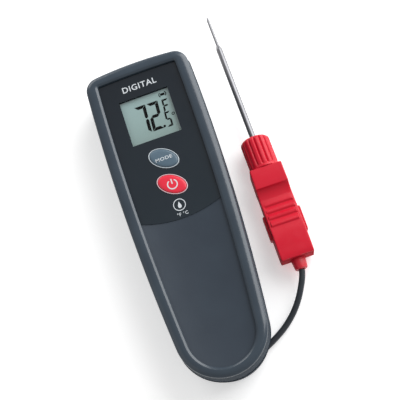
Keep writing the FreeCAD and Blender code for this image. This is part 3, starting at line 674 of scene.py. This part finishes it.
# The meter.
@dataclass
class MeterCase:
    """The front shell with its rim and sunk face, and the finishes of the meter's other parts."""

    parting: float = 14.0
    rim_top: float = 26.5
    floor: float = 24.2
    plate_low: float = 22.6
    step: float = 0.3
    draft: float = 0.3
    wall: float = 3.4
    window: tuple[float, float, float] = (26.8, 25.9, 55.5)
    pocket: tuple[float, float] = (30.0, 29.1)
    pocket_floor: float = 23.2
    level: float = 0.05
    shoulder: float = 0.3
    body: Outline = Outline(29.4, 1100.0, 43.0, 88.0, 210.0, 8.0, -88.0)
    recess: Outline = Outline(22.2, 1250.0, 43.0, 81.2, 500.0, 1.0, -82.3)

    def build(self, nodes: dict[str, Piece], keys: Sequence["PushButton"]) -> None:
        """Builds the front shell and dresses the meter's parts that keep their shape.

        Args:
            nodes: The CAD nodes by name.
            keys: The push buttons, whose holes the front shell has.
        """
        self.front(keys)
        # The rear shell and battery cap take the back slate, darkened as painted shade.
        stay = {
            Palette.SHADED_BACK: "rear_housing battery_cap", Palette.SCREW: "housing_screws board_screws",
            Palette.RUBBER: "housing_gasket battery_seal cord_gland zebra_strips",
            Palette.BOARD: "circuit_board", Palette.CELL: "timing_crystal coin_cell",
            Palette.CHIP: "processor_chip function_switch power_switch function_plunger power_plunger",
            Palette.NATURAL: "lead_connector battery_holder lcd_backing", Palette.LEAD: "sensor_leads",
            Palette.BRASS: "battery_contacts", Palette.STRAP: "cord_ties", Palette.LABEL: "face_label",
            Palette.PANE: "lcd_window", Palette.FILM: "lcd_glass", Palette.FRAME: "lcd_frame",
        }
        for finish, names in stay.items():
            Bench.dress(finish, *(nodes[name] for name in names.split()))

    def front(self, keys: Sequence["PushButton"]) -> None:
        """The front shell: drafted walls, a crowned rim with a bevelled inner edge, and the sunk face.

        Args:
            keys: The push buttons.
        """
        foot = self.step
        top = self.rim_top
        edge = foot + self.draft
        outside = [
            (self.wall, self.plate_low), (self.wall, self.parting), (foot + 0.25, self.parting),
            (foot + 0.02, self.parting + 0.25), (foot + 0.5 * self.draft, (self.parting + top) / 2),
            (edge - 0.03, top - 1.9), (edge + 0.04, top - 1.45), (edge + 0.18, top - 1.12),
            (edge + 0.4, top - 0.9), (edge + 1.35, top - 0.36), (edge + 1.75, top - 0.19),
            (edge + 2.4, top - 0.06), (edge + 3.4, top),
        ]
        inside = [
            (-1.35, top - 0.02), (-1.05, top - 0.1), (-0.9, top - 0.2), (-0.18, top - 0.66),
            (-0.05, top - 0.8), (0.0, top - 1.0), (0.0, self.floor + 0.15), (0.05, self.floor + 0.04),
            (0.16, self.floor),
        ]
        shell = Bench.skin("case_front", [self.body.ring(*row) for row in outside]
                           + [self.recess.ring(*row) for row in inside])
        width, depth, middle = self.window
        low = self.plate_low - 1
        high = self.floor + 1
        cutters = [self.cutter((width, depth), middle, low, high),
                   self.cutter(self.pocket, middle, self.pocket_floor, high)]
        cutters += [Bench.skin("hole", [key.oval.ring(key.gap, z) for z in (low, high)]) for key in keys]
        Bench.carve(shell, cutters)
        Bench.hand_over(shell, Palette.CASE, Body.METER, "housing_front", ["front_housing"])
        Bench.part_finish(shell, Palette.PANEL,
                          lambda face: abs(face.center.z / MM - self.floor) < self.level)
        # The outer wall below the sunk face takes the matte slate, darkened as painted shade.
        Bench.part_finish(shell, Palette.SHADED_SIDE,
                          lambda face: face.center.z / MM < self.floor - self.shoulder)

    @staticmethod
    def cutter(size: Plan, middle: float, low: float, high: float) -> Piece:
        """A box that cuts an opening of a width and depth, centred on a place along Y."""
        x, y = size[0] / 2, size[1] / 2
        return Bench.plate("opening", [(-x, middle - y), (x, middle - y), (x, middle + y), (-x, middle + y)],
                           low, high)


@dataclass
class PushButton:
    """One slanted oval button with its pale trim."""

    name: str
    body: Body
    middle: float
    finish: Finish
    trim: Finish
    slot: str
    label_top: float = 24.5
    proud: float = 0.9
    semi: Plan = (7.65, 4.6)
    tilt: float = math.radians(-33)
    gap: float = 0.12
    ring_width: float = 0.5
    ring_proud: float = 0.4
    floor: float = 24.2
    flange: float = 0.9
    flange_low: float = 21.54
    flange_high: float = 22.54

    @property
    def oval(self) -> Oval:
        """The button's outline."""
        return Oval((0.0, self.middle), self.semi, self.tilt)

    @property
    def top(self) -> float:
        """Height of the flat middle of the button."""
        return self.label_top + self.proud

    def build(self) -> None:
        """Builds the button and its trim."""
        oval = self.oval
        top = self.top
        rings = [oval.ring(self.flange, self.flange_low), oval.ring(self.flange, self.flange_high),
                 oval.ring(-0.02, self.flange_high), oval.ring(-0.02, top - 0.75)]
        for share, drop in ((0.985, 0.5), (0.95, 0.3), (0.88, 0.16), (0.76, 0.07), (0.6, 0.02), (0.4, 0.0)):
            rings.append(oval.ring(0.0, top - drop, share))
        cap = Bench.skin(f"{self.name}_cap", rings)
        Bench.hand_over(cap, self.finish, self.body, self.slot, [f"{self.name}_button"])
        outer = self.gap + self.ring_width
        high = self.label_top + self.ring_proud
        profile = [(outer, self.floor), (outer, high - 0.22), (outer - 0.06, high - 0.07),
                   (outer - 0.17, high), (self.gap + 0.17, high), (self.gap + 0.05, high - 0.08),
                   (self.gap, high - 0.25), (self.gap, self.floor)]
        trim = Bench.skin(f"{self.name}_trim", [oval.ring(*row) for row in profile], Ends.LOOPED)
        Bench.hand_over(trim, self.trim, Body.METER, "ring", [f"{self.name}_ring"])


@dataclass
class FacePrint:
    """Thin raised print on the label and the buttons."""

    label_top: float = 24.5
    thickness: float = 0.03
    headline: str = "DIGITAL"
    headline_centre: Plan = (-0.5, 74.1)
    headline_size: float = 4.6
    badge_centre: Plan = (0.25, 4.2)
    badge_radius: float = 3.25
    badge_line: float = 0.42
    drop_size: Plan = (1.35, 1.8)
    drop_pinch: float = 1.6
    drop_steps: int = 36
    band_steps: int = 40
    power_radius: float = 2.5
    power_line: float = 0.62
    power_shift: Plan = (0.15, -0.35)
    power_bar: Plan = (0.2, 3.0)
    power_gap: Plan = (122, 418)
    units: str = "°F °C"
    units_centre: Plan = (0.45, -1.0)
    units_size: float = 2.4
    mode: str = "MODE"
    mode_size: float = 2.5
    mode_shift: float = -0.4
    mode_stretch: float = 1.2

    def build(self, function_key: PushButton, power_key: PushButton) -> None:
        """Builds all the print.

        Args:
            function_key: The upper button.
            power_key: The lower button.
        """
        z = self.label_top
        key_place = (0, function_key.middle + self.mode_shift, function_key.top)
        headline = Bench.lettering("headline", self.headline, self.headline_size, (*self.headline_centre, z))
        units = Bench.lettering("units_mark", self.units, self.units_size, (*self.units_centre, z))
        badge = self.badge()
        mode = Bench.lettering("mode_word", self.mode, self.mode_size, key_place, self.thickness,
                               self.mode_stretch)
        for piece in (headline, units, badge):
            Bench.hand_over(piece, Palette.PRINT, Body.METER, "label")
        Bench.hand_over(mode, Palette.PRINT, Body.FUNCTION_KEY, "button_slate")
        Bench.hand_over(self.power_mark(power_key), Palette.PRINT, Body.POWER_KEY, "button_red")

    def printed(self, name: str, outline: Sequence[Plan], low: float) -> Piece:
        """Lays a thin printed shape at a height."""
        return Bench.plate(name, outline, low, low + self.thickness)

    def badge(self) -> Piece:
        """A plain ring round a water drop, for a washable instrument."""
        z = self.label_top
        radius = self.badge_radius - self.badge_line / 2
        halves = []
        for start in (0, 180):
            half = band(self.badge_centre, radius, self.badge_line, start, start + 180, self.band_steps)
            halves.append(self.printed("badge_half", half, z))
        drop = []
        for angle in (math.tau * i / self.drop_steps for i in range(self.drop_steps)):
            pinch = math.sin(angle / 2) ** self.drop_pinch
            drop.append((self.badge_centre[0] + self.drop_size[0] * math.sin(angle) * pinch,
                         self.badge_centre[1] + self.drop_size[1] * math.cos(angle)))
        halves.append(self.printed("drop", drop, z))
        return Bench.join("badge", halves)

    def power_mark(self, key: PushButton) -> Piece:
        """The usual broken ring and bar of a power button.

        Args:
            key: The button it is printed on.

        Returns:
            The piece.
        """
        x, y = self.power_shift[0], key.middle + self.power_shift[1]
        half = self.power_line / 2
        low, high = (y + reach for reach in self.power_bar)
        curve = band((x, y), self.power_radius, self.power_line, *self.power_gap, self.band_steps)
        ring = self.printed("power_ring_mark", curve, key.top)
        corners = [(x - half, low), (x + half, low), (x + half, high), (x - half, high)]
        bar = self.printed("power_bar", corners, key.top)
        return Bench.join("power_mark", [ring, bar])


class Segment(Enum):
    """The seven bars of a digit, as the ends of each bar in a cell one wide and two high."""

    TOP = ((0, 2), (1, 2))
    UPPER_LEFT = ((0, 1), (0, 2))
    UPPER_RIGHT = ((1, 1), (1, 2))
    MIDDLE = ((0, 1), (1, 1))
    LOWER_LEFT = ((0, 0), (0, 1))
    LOWER_RIGHT = ((1, 0), (1, 1))
    BOTTOM = ((0, 0), (1, 0))


SHAPES: dict[str, tuple[Segment, ...]] = {
    "7": (Segment.TOP, Segment.UPPER_RIGHT, Segment.LOWER_RIGHT),
    "2": (Segment.TOP, Segment.UPPER_RIGHT, Segment.MIDDLE, Segment.LOWER_LEFT, Segment.BOTTOM),
    "5": (Segment.TOP, Segment.UPPER_LEFT, Segment.MIDDLE, Segment.LOWER_RIGHT, Segment.BOTTOM),
    "F": (Segment.TOP, Segment.UPPER_LEFT, Segment.MIDDLE, Segment.LOWER_LEFT),
}


@dataclass
class Display:
    """The dark marks on the display: 72.5 and the unit."""

    centre: Plan = (0.0, 55.5)
    low: float = 22.4
    thickness: float = 0.05
    lean: float = math.tan(math.radians(3))
    icon: Plan = (9.1, 10.4)
    gap: float = 0.12
    cell_mark: Plan = (1.2, 0.65)
    bracket: tuple[Plan, Plan] = ((1.95, 1.75), (1.45, 1.35))
    bracket_shift: float = 0.2
    bracket_turn: float = 50.0
    dot_steps: int = 20
    curve_steps: int = 12

    def build(self) -> None:
        """Builds every mark as one piece."""
        marks = []
        signs = (("7", (-6.4, -7.0), (4.4, 7.2), 1.7), ("2", (0.4, -7.0), (4.4, 7.1), 1.7),
                 ("5", (7.9, -7.8), (2.1, 3.8), 0.95), ("F", (8.2, 0.6), (2.5, 3.2), 0.95))
        for sign, corner, cell, stroke in signs:
            marks += [self.bar(segment, corner, cell, stroke) for segment in SHAPES[sign]]
        marks.append(self.dot((5.95, -7.1), 0.68))
        marks += self.hoop((12.0, -1.9), 0.65, 0.42)
        marks += self.bracket_mark()
        piece = Bench.join("display_marks", marks)
        Bench.hand_over(piece, Palette.SEGMENT, Body.METER, "lcd")

    def at(self, x: float, y: float) -> Plan:
        """A place on the display, leaned over like its digits."""
        return (self.centre[0] + x + y * self.lean, self.centre[1] + y)

    def bar(self, segment: Segment, corner: Plan, cell: Plan, stroke: float) -> Piece:
        """One bar of a digit: mitred where two bars meet in a corner, pointed where three meet in the middle.

        Args:
            segment: Which bar.
            corner: The cell's lower left corner.
            cell: Its width and half its height.
            stroke: The bar's width.

        Returns:
            The bar.
        """
        (x0, y0), (x1, y1) = segment.value
        start = Vector((corner[0] + x0 * cell[0], corner[1] + y0 * cell[1]))
        end = Vector((corner[0] + x1 * cell[0], corner[1] + y1 * cell[1]))
        way = (end - start).normalized() * stroke / 2
        outward = Vector((-way.y, way.x))
        if outward.x * (x0 + x1 - 1) + outward.y * (y0 + y1 - 2) < 0:
            outward.negate()
        points = []
        for row, place, inwards in ((y0, start, way), (y1, end, -way)):
            tip = place + self.gap * inwards
            reach = inwards if row == 1 else -inwards
            row_points = [tip + inwards - outward, tip, tip + reach + outward]
            points += row_points if inwards == way else row_points[::-1]
        return self.mark("bar", points)

    def mark(self, name: str, points: Iterable[Plan]) -> Piece:
        """A flat mark on the display's film."""
        return Bench.plate(name, [self.at(*point) for point in points], self.low, self.low + self.thickness)

    def dot(self, centre: Plan, radius: float) -> Piece:
        """A round dot."""
        return self.mark("dot", arc(centre, radius, 0, 360, self.dot_steps)[:-1])

    def hoop(self, centre: Plan, radius: float, width: float) -> list[Piece]:
        """A small ring, in two halves."""
        return [self.mark("hoop", band(centre, radius, width, start, start + 180, self.curve_steps))
                for start in (0, 180)]

    def bracket_mark(self) -> list[Piece]:
        """The small battery mark: a filled bar between two brackets."""
        x, y = self.icon
        width, height = self.cell_mark
        marks = [self.mark("cell_mark", [(x + a * width, y + b * height)
                                         for a, b in ((-1, -1), (1, -1), (1, 1), (-1, 1))])]
        for side in (-1, 1):
            outer, inner = (arc((self.bracket_shift, y), radius, -self.bracket_turn, self.bracket_turn,
                                self.curve_steps, rise / radius) for radius, rise in self.bracket)
            marks.append(self.mark("bracket", [(x + side * a, b) for a, b in outer + inner[::-1]]))
        return marks


# The probe.
@dataclass
class Probe:
    """The red-handled probe, built on its own axis along Y and then turned into place."""

    pivot: Plan = (47.3, 10.0)
    grip_yaw: float = math.radians(0.5)
    stem_yaw: float = math.radians(1.2)
    axis_z: float = 8.0
    half_width: float = 8.75
    half_height: float = 7.6
    low_height: float = 7.0
    roll: float = math.radians(4.0)
    waist: float = 4.3
    rear: float = -38.9
    front: float = 11.8
    collar_end: float = 30.0
    collar_radius: float = 8.0
    flutes: int = 16
    corner: float = 0.6
    channel: float = 4.0
    stem_radius: float = 1.6
    tip_radius: float = 0.75
    step_y: float = 86.0
    tip_y: float = 106.6
    waist_y: float = -5.4
    lips: tuple[float, ...] = (-8.6, -12.6, -16.3, -20.4)
    lip_start: float = 5.2
    lip_drop: float = 0.5
    lip_length: float = 1.4
    rail_end: float = 2.6
    block_end: float = 0.7
    end_round: float = 0.7
    end_draw: float = 0.45
    split: float = 0.02
    split_edge: float = 0.12
    bend_share: float = 0.45
    roof: float = 0.35
    strip_drop: Plan = (0.3, 0.2)
    steep: float = 0.3
    tab_reach: float = 10.15
    flute_start: float = 1.3
    flute_depth: float = 0.75
    flute_power: int = 5
    nose: float = 2.6

    def place(self, x: float, y: float, z: float, forward: bool = False) -> Place:
        """Moves a point from the probe's own axis to where the probe lies.

        Args:
            x: Across the probe.
            y: Along it, towards the tip.
            z: Height.
            forward: Whether it belongs to the collar or the stem, which lean a little more than the grip.

        Returns:
            The point in the object's frame.
        """
        ahead = y - self.pivot[1]
        yaw = self.stem_yaw if forward else self.grip_yaw
        cosine, sine = math.cos(yaw), math.sin(yaw)
        return (self.pivot[0] + x * cosine - ahead * sine, self.pivot[1] + x * sine + ahead * cosine, z)

    def rolled(self, x: float, z: float, y: float) -> Place:
        """Rolls a point of the grip a little about the probe's axis, as the probe lies."""
        cosine, sine = math.cos(self.roll), math.sin(self.roll)
        return (x * cosine + z * sine, y, self.axis_z + z * cosine - x * sine)

    def build(self, nodes: dict[str, Piece]) -> None:
        """Builds every visible piece of the probe and dresses the nodes inside it.

        Args:
            nodes: The CAD nodes by name.
        """
        for upper in (True, False):
            self.grip_half(upper)
        self.lugs()
        self.collar()
        self.boot()
        self.stem()
        inner = {"stem_ferrule": Palette.BRASS, "probe_potting": Palette.RESIN, "inner_lead": Palette.JACKET,
                 "thermistor_bead": Palette.CHIP, "bead_wires": Palette.LEAD}
        for name, finish in inner.items():
            Bench.dress(finish, nodes[name])

    def heights(self, upper: bool) -> list[Plan]:
        """Lists a half's height along the grip: block, hollow slope, waist and lips that climb to the rear.

        Args:
            upper: Whether it is the upper half, which ends square. The lower one is rounded off underneath.

        Returns:
            Places along the probe's axis with the height there.
        """
        full = self.half_height if upper else self.low_height
        end = self.block_end
        rows = [(self.front, full - 0.5), (self.front - 0.3, full), (end + 0.5, full),
                (end + 0.2, full - 0.08), (end, full - 0.4)]
        for reach in (0.97, 0.9, 0.8, 0.7, 0.6, 0.45, 0.3, 0.15, 0.0):
            rows.append((self.waist_y + (end - self.waist_y) * reach,
                         self.waist + (full - self.waist) * (1 - math.sqrt(1 - reach * reach))))
        climb = (full - self.lip_start) / (len(self.lips) - 1)
        for i, y in enumerate(self.lips):
            lip = self.lip_start + climb * i
            low = lip - self.lip_drop
            rows += [(y + self.lip_length, lip - 0.05), (y + 0.45, lip), (y + 0.2, lip - 0.04),
                     (y, lip - 0.14), (y - 0.25, low + 0.1), (y - 0.42, low), (y - 0.75, low)]
        rows += [(-23.0, full - 0.2), (-26.0, full), (-30.0, full)]
        square = ((3.0, 0.25), (0.5, 0.5), (0.15, 0.65), (0.0, 1.0))
        rounded = ((5.0, 0.1), (2.6, 0.8), (1.2, 2.0), (0.4, 3.4), (0.0, 5.0))
        return rows + [(self.rear + ahead, full - drop) for ahead, drop in (square if upper else rounded)]

    def grip_half(self, upper: bool) -> None:
        """One half of the grip, split along its middle.

        Args:
            upper: Whether it is the upper half.
        """
        side = 1 if upper else -1
        rings = []
        for y, height in self.heights(upper):
            end = min(1.0, abs(y - self.rear) / self.end_round, abs(y - self.front) / self.end_round)
            width = self.half_width - self.end_draw * (1 - end) ** 2
            section = self.half_section(width, height, self.rail(y, height))
            rings.append([self.place(*self.rolled(x, side * z, y)) for x, z in section])
        piece = Bench.skin("grip_top" if upper else "grip_bottom", rings)
        node = "handle_top" if upper else "handle_bottom"
        Bench.hand_over(piece, Palette.RED, Body.PROBE, "handle", [node])
        # The steep side faces take the darker red: painted shade.
        Bench.part_finish(piece, Palette.RED_SHADED_SIDE, lambda face: abs(face.normal.z) < self.steep)

    def rail(self, y: float, height: float) -> float:
        """The height of the smooth strip along each edge, which the thumb lips stop short of.

        Args:
            y: A place along the grip.
            height: The height in the middle there.

        Returns:
            The strip's height.
        """
        front = self.lips[0] + self.lip_length
        rear = self.lips[-1] - self.rail_end
        if not rear < y < front:
            return height
        low = self.lip_start - self.strip_drop[0]
        high = self.half_height - self.strip_drop[1]
        return low + (high - low) * (front - y) / (front - rear)

    def half_section(self, width: float, height: float, rail: float) -> list[Plan]:
        """Half a rounded block with a round channel along the split.

        Args:
            width: Half its width.
            height: Its height above the split.
            rail: The height of its edges.

        Returns:
            The section's points.
        """
        bend = min(self.corner, rail * self.bend_share)
        inner = width - bend
        strip = ((0.5, rail), (0.85, height))
        lip = self.split_edge
        points = [(self.channel, self.split), (width - lip, self.split), (width, lip)]
        points += arc((inner, rail - bend), bend, 0, 90, 8)
        points += [(inner - x, z) for x, z in strip]
        points += [(inner * (1 - 2 * i / 8), height) for i in range(1, 8)]
        points += [(x - inner, z) for x, z in reversed(strip)]
        points += arc((-inner, rail - bend), bend, 90, 180, 8)
        points += [(-width, lip), (-width + lip, self.split), (-self.channel, self.split)]
        arch = min(self.channel, height - self.roof)
        return points + arc((0.0, self.split), self.channel, 180, 0, 10, arch / self.channel)[1:-1]

    def lugs(self) -> None:
        """The raised tab on each side of the grip."""
        tabs = []
        base = self.half_width - 0.3
        ends = ((-26.0, 0.9, 2.0), (-25.7, 1.35, 2.35), (-24.9, 1.6, 2.5))
        for side in (-1, 1):
            rings = []
            for y, out, half in ends + ((-13.5, 1.6, 2.5), (-12.7, 1.35, 2.35), (-12.4, 0.9, 2.0)):
                slope = ((0.0, 1.0, 0.0), (out - 0.1, 1.0, 0.0), (out + 0.2, 1.0, 0.4))
                section = [(base + x, -half * share + back) for x, share, back in slope]
                section += [(base + out + 0.3, 0.0)]
                section += [(base + x, half * share - back) for x, share, back in reversed(slope)]
                rings.append([self.place(*self.rolled(side * min(x, self.tab_reach), z, y))
                              for x, z in section])
            tabs.append(Bench.skin("tab", rings))
        piece = Bench.join("grip_tabs", tabs)
        Bench.hand_over(piece, Palette.RED, Body.PROBE, "handle")

    def turned(self, name: str, profile: Sequence[Plan], forward: bool, count: int = 48,
               depth: Callable[[float, float], float] | None = None) -> Piece:
        """A piece turned about the probe's axis.

        Args:
            name: The piece's name.
            profile: Its outline as (place along the axis, radius).
            forward: Whether it leans with the stem.
            count: Points round it.
            depth: How deep a groove is at an angle and a place along the axis.

        Returns:
            The piece.
        """
        rings = []
        for y, radius in profile:
            ring = []
            for i in range(count):
                angle = math.tau * i / count
                reach = radius - (depth(angle, y) if depth else 0.0)
                height = self.axis_z + reach * math.sin(angle)
                ring.append(self.place(reach * math.cos(angle), y, height, forward))
            rings.append(ring)
        return Bench.skin(name, rings)

    def collar(self) -> None:
        """The fluted collar with its plain base ring and round nose."""
        low = self.front
        high = self.collar_end
        full = self.collar_radius

        def groove(angle: float, y: float) -> float:
            """How deep the flutes are at an angle and a place."""
            along = y - low - self.flute_start
            if along < 0:
                return 0.0
            sharp = (0.5 + 0.5 * math.cos(self.flutes * angle)) ** self.flute_power
            fade = min(1.0, along) * max(0.25, min(1.0, (high - y) / 2.0))
            return self.flute_depth * sharp * fade

        profile = [(low + ahead, full - drop) for ahead, drop in (
            (0.0, 0.35), (0.12, 0.1), (0.4, 0.02), (1.0, 0.02), (1.25, 0.15), (1.35, 0.4), (1.8, 0.3),
            (2.5, 0.12))]
        nose = self.nose
        start, radius = profile[-1]
        straight = high - nose - start
        profile += [(start + straight * i / 5, radius) for i in range(1, 5)]
        profile += arc((high - nose, radius - nose), nose, 90, 0, 8)
        profile += [(high, 2.4), (high - 0.3, 1.9), (high - 0.8, 1.7)]
        piece = self.turned("collar", profile, True, self.flutes * 12, groove)
        Bench.hand_over(piece, Palette.RED, Body.PROBE, "handle", ["probe_collar"])

    def boot(self) -> None:
        """The short tapered boot at the cord's exit."""
        profile = [(self.rear + ahead, radius) for ahead, radius in (
            (7.0, 3.4), (0.2, 3.5), (0.0, 3.75), (-0.4, 3.82), (-3.0, 3.55), (-4.7, 3.35), (-5.2, 3.2),
            (-5.5, 2.85), (-5.6, 2.3), (-5.55, 1.85), (-5.0, 1.68))]
        piece = self.turned("boot", profile, False)
        Bench.hand_over(piece, Palette.BOOT, Body.PROBE, "boot", ["probe_boot"])

    def stem(self) -> None:
        """The steel stem, its step and its pointed tip."""
        thick = self.stem_radius
        thin = self.tip_radius
        step = self.step_y
        tip = self.tip_y
        profile = [(0.5, thick - 0.1), (0.7, thick), (20.0, thick), (40.0, thick), (60.0, thick),
                   (step - 0.3, thick), (step, thick - 0.05), (step + 1.0, thick - 0.32),
                   (step + 2.3, thin + 0.08), (step + 2.7, thin), (tip - 2.4, thin), (tip - 2.0, thin - 0.06),
                   (tip - 0.9, thin * 0.55), (tip - 0.15, 0.18), (tip, 0.08)]
        piece = self.turned("stem", profile, True, 40)
        Bench.hand_over(piece, Palette.STEEL, Body.PROBE, "stem", ["probe_stem"])


# The cord.
@dataclass
class Lead:
    """The cord: a free curve from the probe, then a hank under the meter that ends in the case's gland."""

    radius: float = 1.6
    exit: Place = (47.78, -44.6, 8.0)
    route: tuple[Place, ...] = ((47.2, -47.0, 7.75), (44.9, -51.8, 6.9), (41.0, -58.2, 5.3),
                                (35.6, -64.3, 3.7), (28.0, -70.2, 2.4), (14.4, -77.0, 2.2))
    fold_inner: float = 9.7
    pitch: float = 3.3
    low_y: float = -67.5
    run: float = 48.0
    lower_z: float = 2.65
    upper_z: float = 6.05
    gland_y: float = -7.5
    stations: int = 16
    fold_step: float = 30.0
    inwards: float = 0.8
    outwards: float = 2.31
    outside: float = 2.68
    upwards: float = 1.74
    length: float = 0.632
    bulge: float = 1.022

    def station(self, turn: int, index: int) -> Place:
        """One point of the hank.

        Args:
            turn: Which turn, from 0.
            index: Which of the stations of a turn, clockwise from the lower fold's middle.

        Returns:
            The point.
        """
        progress = turn + index / self.stations
        radius = self.fold_inner + self.pitch
        if self.inwards < progress <= self.outwards:
            radius = self.fold_inner
        elif self.outwards < progress < self.outside:
            share = (progress - self.outwards) / (self.outside - self.outwards)
            radius = self.fold_inner + self.pitch * share
        height = self.upper_z if progress >= self.upwards else self.lower_z
        quarter = self.stations // 4
        if index in (quarter, 3 * quarter):
            return (-radius if index == quarter else radius, self.low_y + self.run / 2, height)
        upper_fold = quarter < index < 3 * quarter
        steps = index - 2 * quarter if upper_fold else index
        angle = math.radians((90 if upper_fold else -90) - self.fold_step * steps)
        if index > 3 * quarter:
            angle = math.radians(-90 + self.fold_step * (self.stations - index))
        bent = radius * self.bulge
        middle = self.low_y + (self.run if upper_fold else 0.0)
        return (bent * math.cos(angle), middle + bent * math.sin(angle), height)

    def points(self) -> list[Place]:
        """The whole route, from the probe's boot to the gland."""
        turns = [self.station(turn, index) for turn in range(3) for index in range(self.stations)]
        last = [self.station(3, index) for index in range(5)]
        outer = self.fold_inner + self.pitch
        end = [(-outer, self.low_y + self.run, self.upper_z), (-outer, self.gland_y, self.upper_z)]
        return [self.exit, *self.route, *turns, *last, *end]

    def build(self) -> None:
        data = bpy.data.curves.new("probe_lead", "CURVE")
        adjust(data, dimensions="3D", bevel_depth=self.radius * MM, bevel_resolution=5, resolution_u=8,
               use_fill_caps=True)
        spline = data.splines.new("NURBS")
        points = self.points()
        spline.points.add(len(points) - 1)
        for point, place in zip(spline.points, points):
            point.co = (*(Vector(place) * MM), 1.0)
        spline.order_u = 3
        spline.use_endpoint_u = True
        cord = bpy.data.objects.new("probe_lead", data)
        bpy.context.scene.collection.objects.link(cord)
        Bench.hand_over(cord, Palette.JACKET, Body.METER, "cord", ["probe_cord", "cord_hank", "cord_tail"])


# The studio.
@dataclass
class Studio:
    """The pale floor, the soft lights and the camera."""

    eye: Place = (39.89, -184.94, 579.66)
    target: Place = (10.24, 7.11, 12.0)
    roll: float = math.radians(18.5)
    lens: float = 104.27
    lamps: tuple[tuple[str, Place, float, float], ...] = (
        ("key", (560, 330, 400), 0.85, 8.4), ("top", (-260, 620, 260), 0.35, 1.0),
        ("fill", (-520, -100, 420), 0.5, 0.25))
    surround: float = 0.42
    floor_size: float = 6.0
    floor_drop: float = 0.0002

    def build(self) -> None:
        """Sets up the floor, lights and camera."""
        self.floor()
        self.lights()
        self.camera()
        bpy.context.scene.view_settings.view_transform = "Standard"

    def floor(self) -> None:
        """A wide pale floor."""
        Bench.clear()
        bpy.ops.mesh.primitive_plane_add(size=self.floor_size, location=(0, 0, -self.floor_drop))
        plane = bpy.context.object
        plane.name = "floor"
        Bench.dress(Palette.FLOOR, plane)

    def lights(self) -> None:
        """A soft light from the right and above, a weak one from the left, and a pale surround."""
        target = Vector(self.target) * MM
        for name, place, size, power in self.lamps:
            lamp = bpy.data.lights.new(name, "AREA")
            adjust(lamp, size=size, energy=power)
            holder = bpy.data.objects.new(name, lamp)
            holder.location = Vector(place) * MM
            holder.rotation_euler = (target - holder.location).to_track_quat("-Z", "Y").to_euler()
            bpy.context.scene.collection.objects.link(holder)
        world = bpy.data.worlds.new("surround")
        world.use_nodes = True
        background = world.node_tree.nodes["Background"]
        background.inputs["Color"].default_value = WHITE
        background.inputs["Strength"].default_value = self.surround
        bpy.context.scene.world = world

    def camera(self) -> None:
        """The camera, above the lower end and a little to the right, rolled to lean the meter left."""
        eye = Vector(self.eye)
        ahead = (Vector(self.target) - eye).normalized()
        right = ahead.cross(Vector((0, 1, 0))).normalized()
        down = ahead.cross(right)
        image_right = right * math.cos(self.roll) + down * math.sin(self.roll)
        image_down = down * math.cos(self.roll) - right * math.sin(self.roll)
        turn = Matrix((image_right, -image_down, -ahead)).transposed()
        data = bpy.data.cameras.new("camera")
        adjust(data, lens=self.lens, sensor_width=36.0, clip_start=0.01, clip_end=20.0)
        camera = bpy.data.objects.new("camera", data)
        adjust(camera, location=eye * MM, rotation_euler=turn.to_euler())
        bpy.context.scene.collection.objects.link(camera)
        bpy.context.scene.camera = camera


def main() -> None:
    """Builds the object in order round the loaded frame."""
    logging.basicConfig(level=logging.INFO, format="%(message)s")
    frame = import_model()
    Studio().build()
    Lead().build()
    function_key = PushButton("function", Body.FUNCTION_KEY, 30.75, Palette.KEY_SLATE, Palette.SILVER,
                              "button_slate")
    power_key = PushButton("power", Body.POWER_KEY, 15.9, Palette.KEY_RED, Palette.PINK_SILVER, "button_red")
    MeterCase().build(frame["nodes"], (function_key, power_key))
    function_key.build()
    power_key.build()
    FacePrint().build(function_key, power_key)
    Display().build()
    Probe().build(frame["nodes"])


if __name__ == "__main__":
    main()
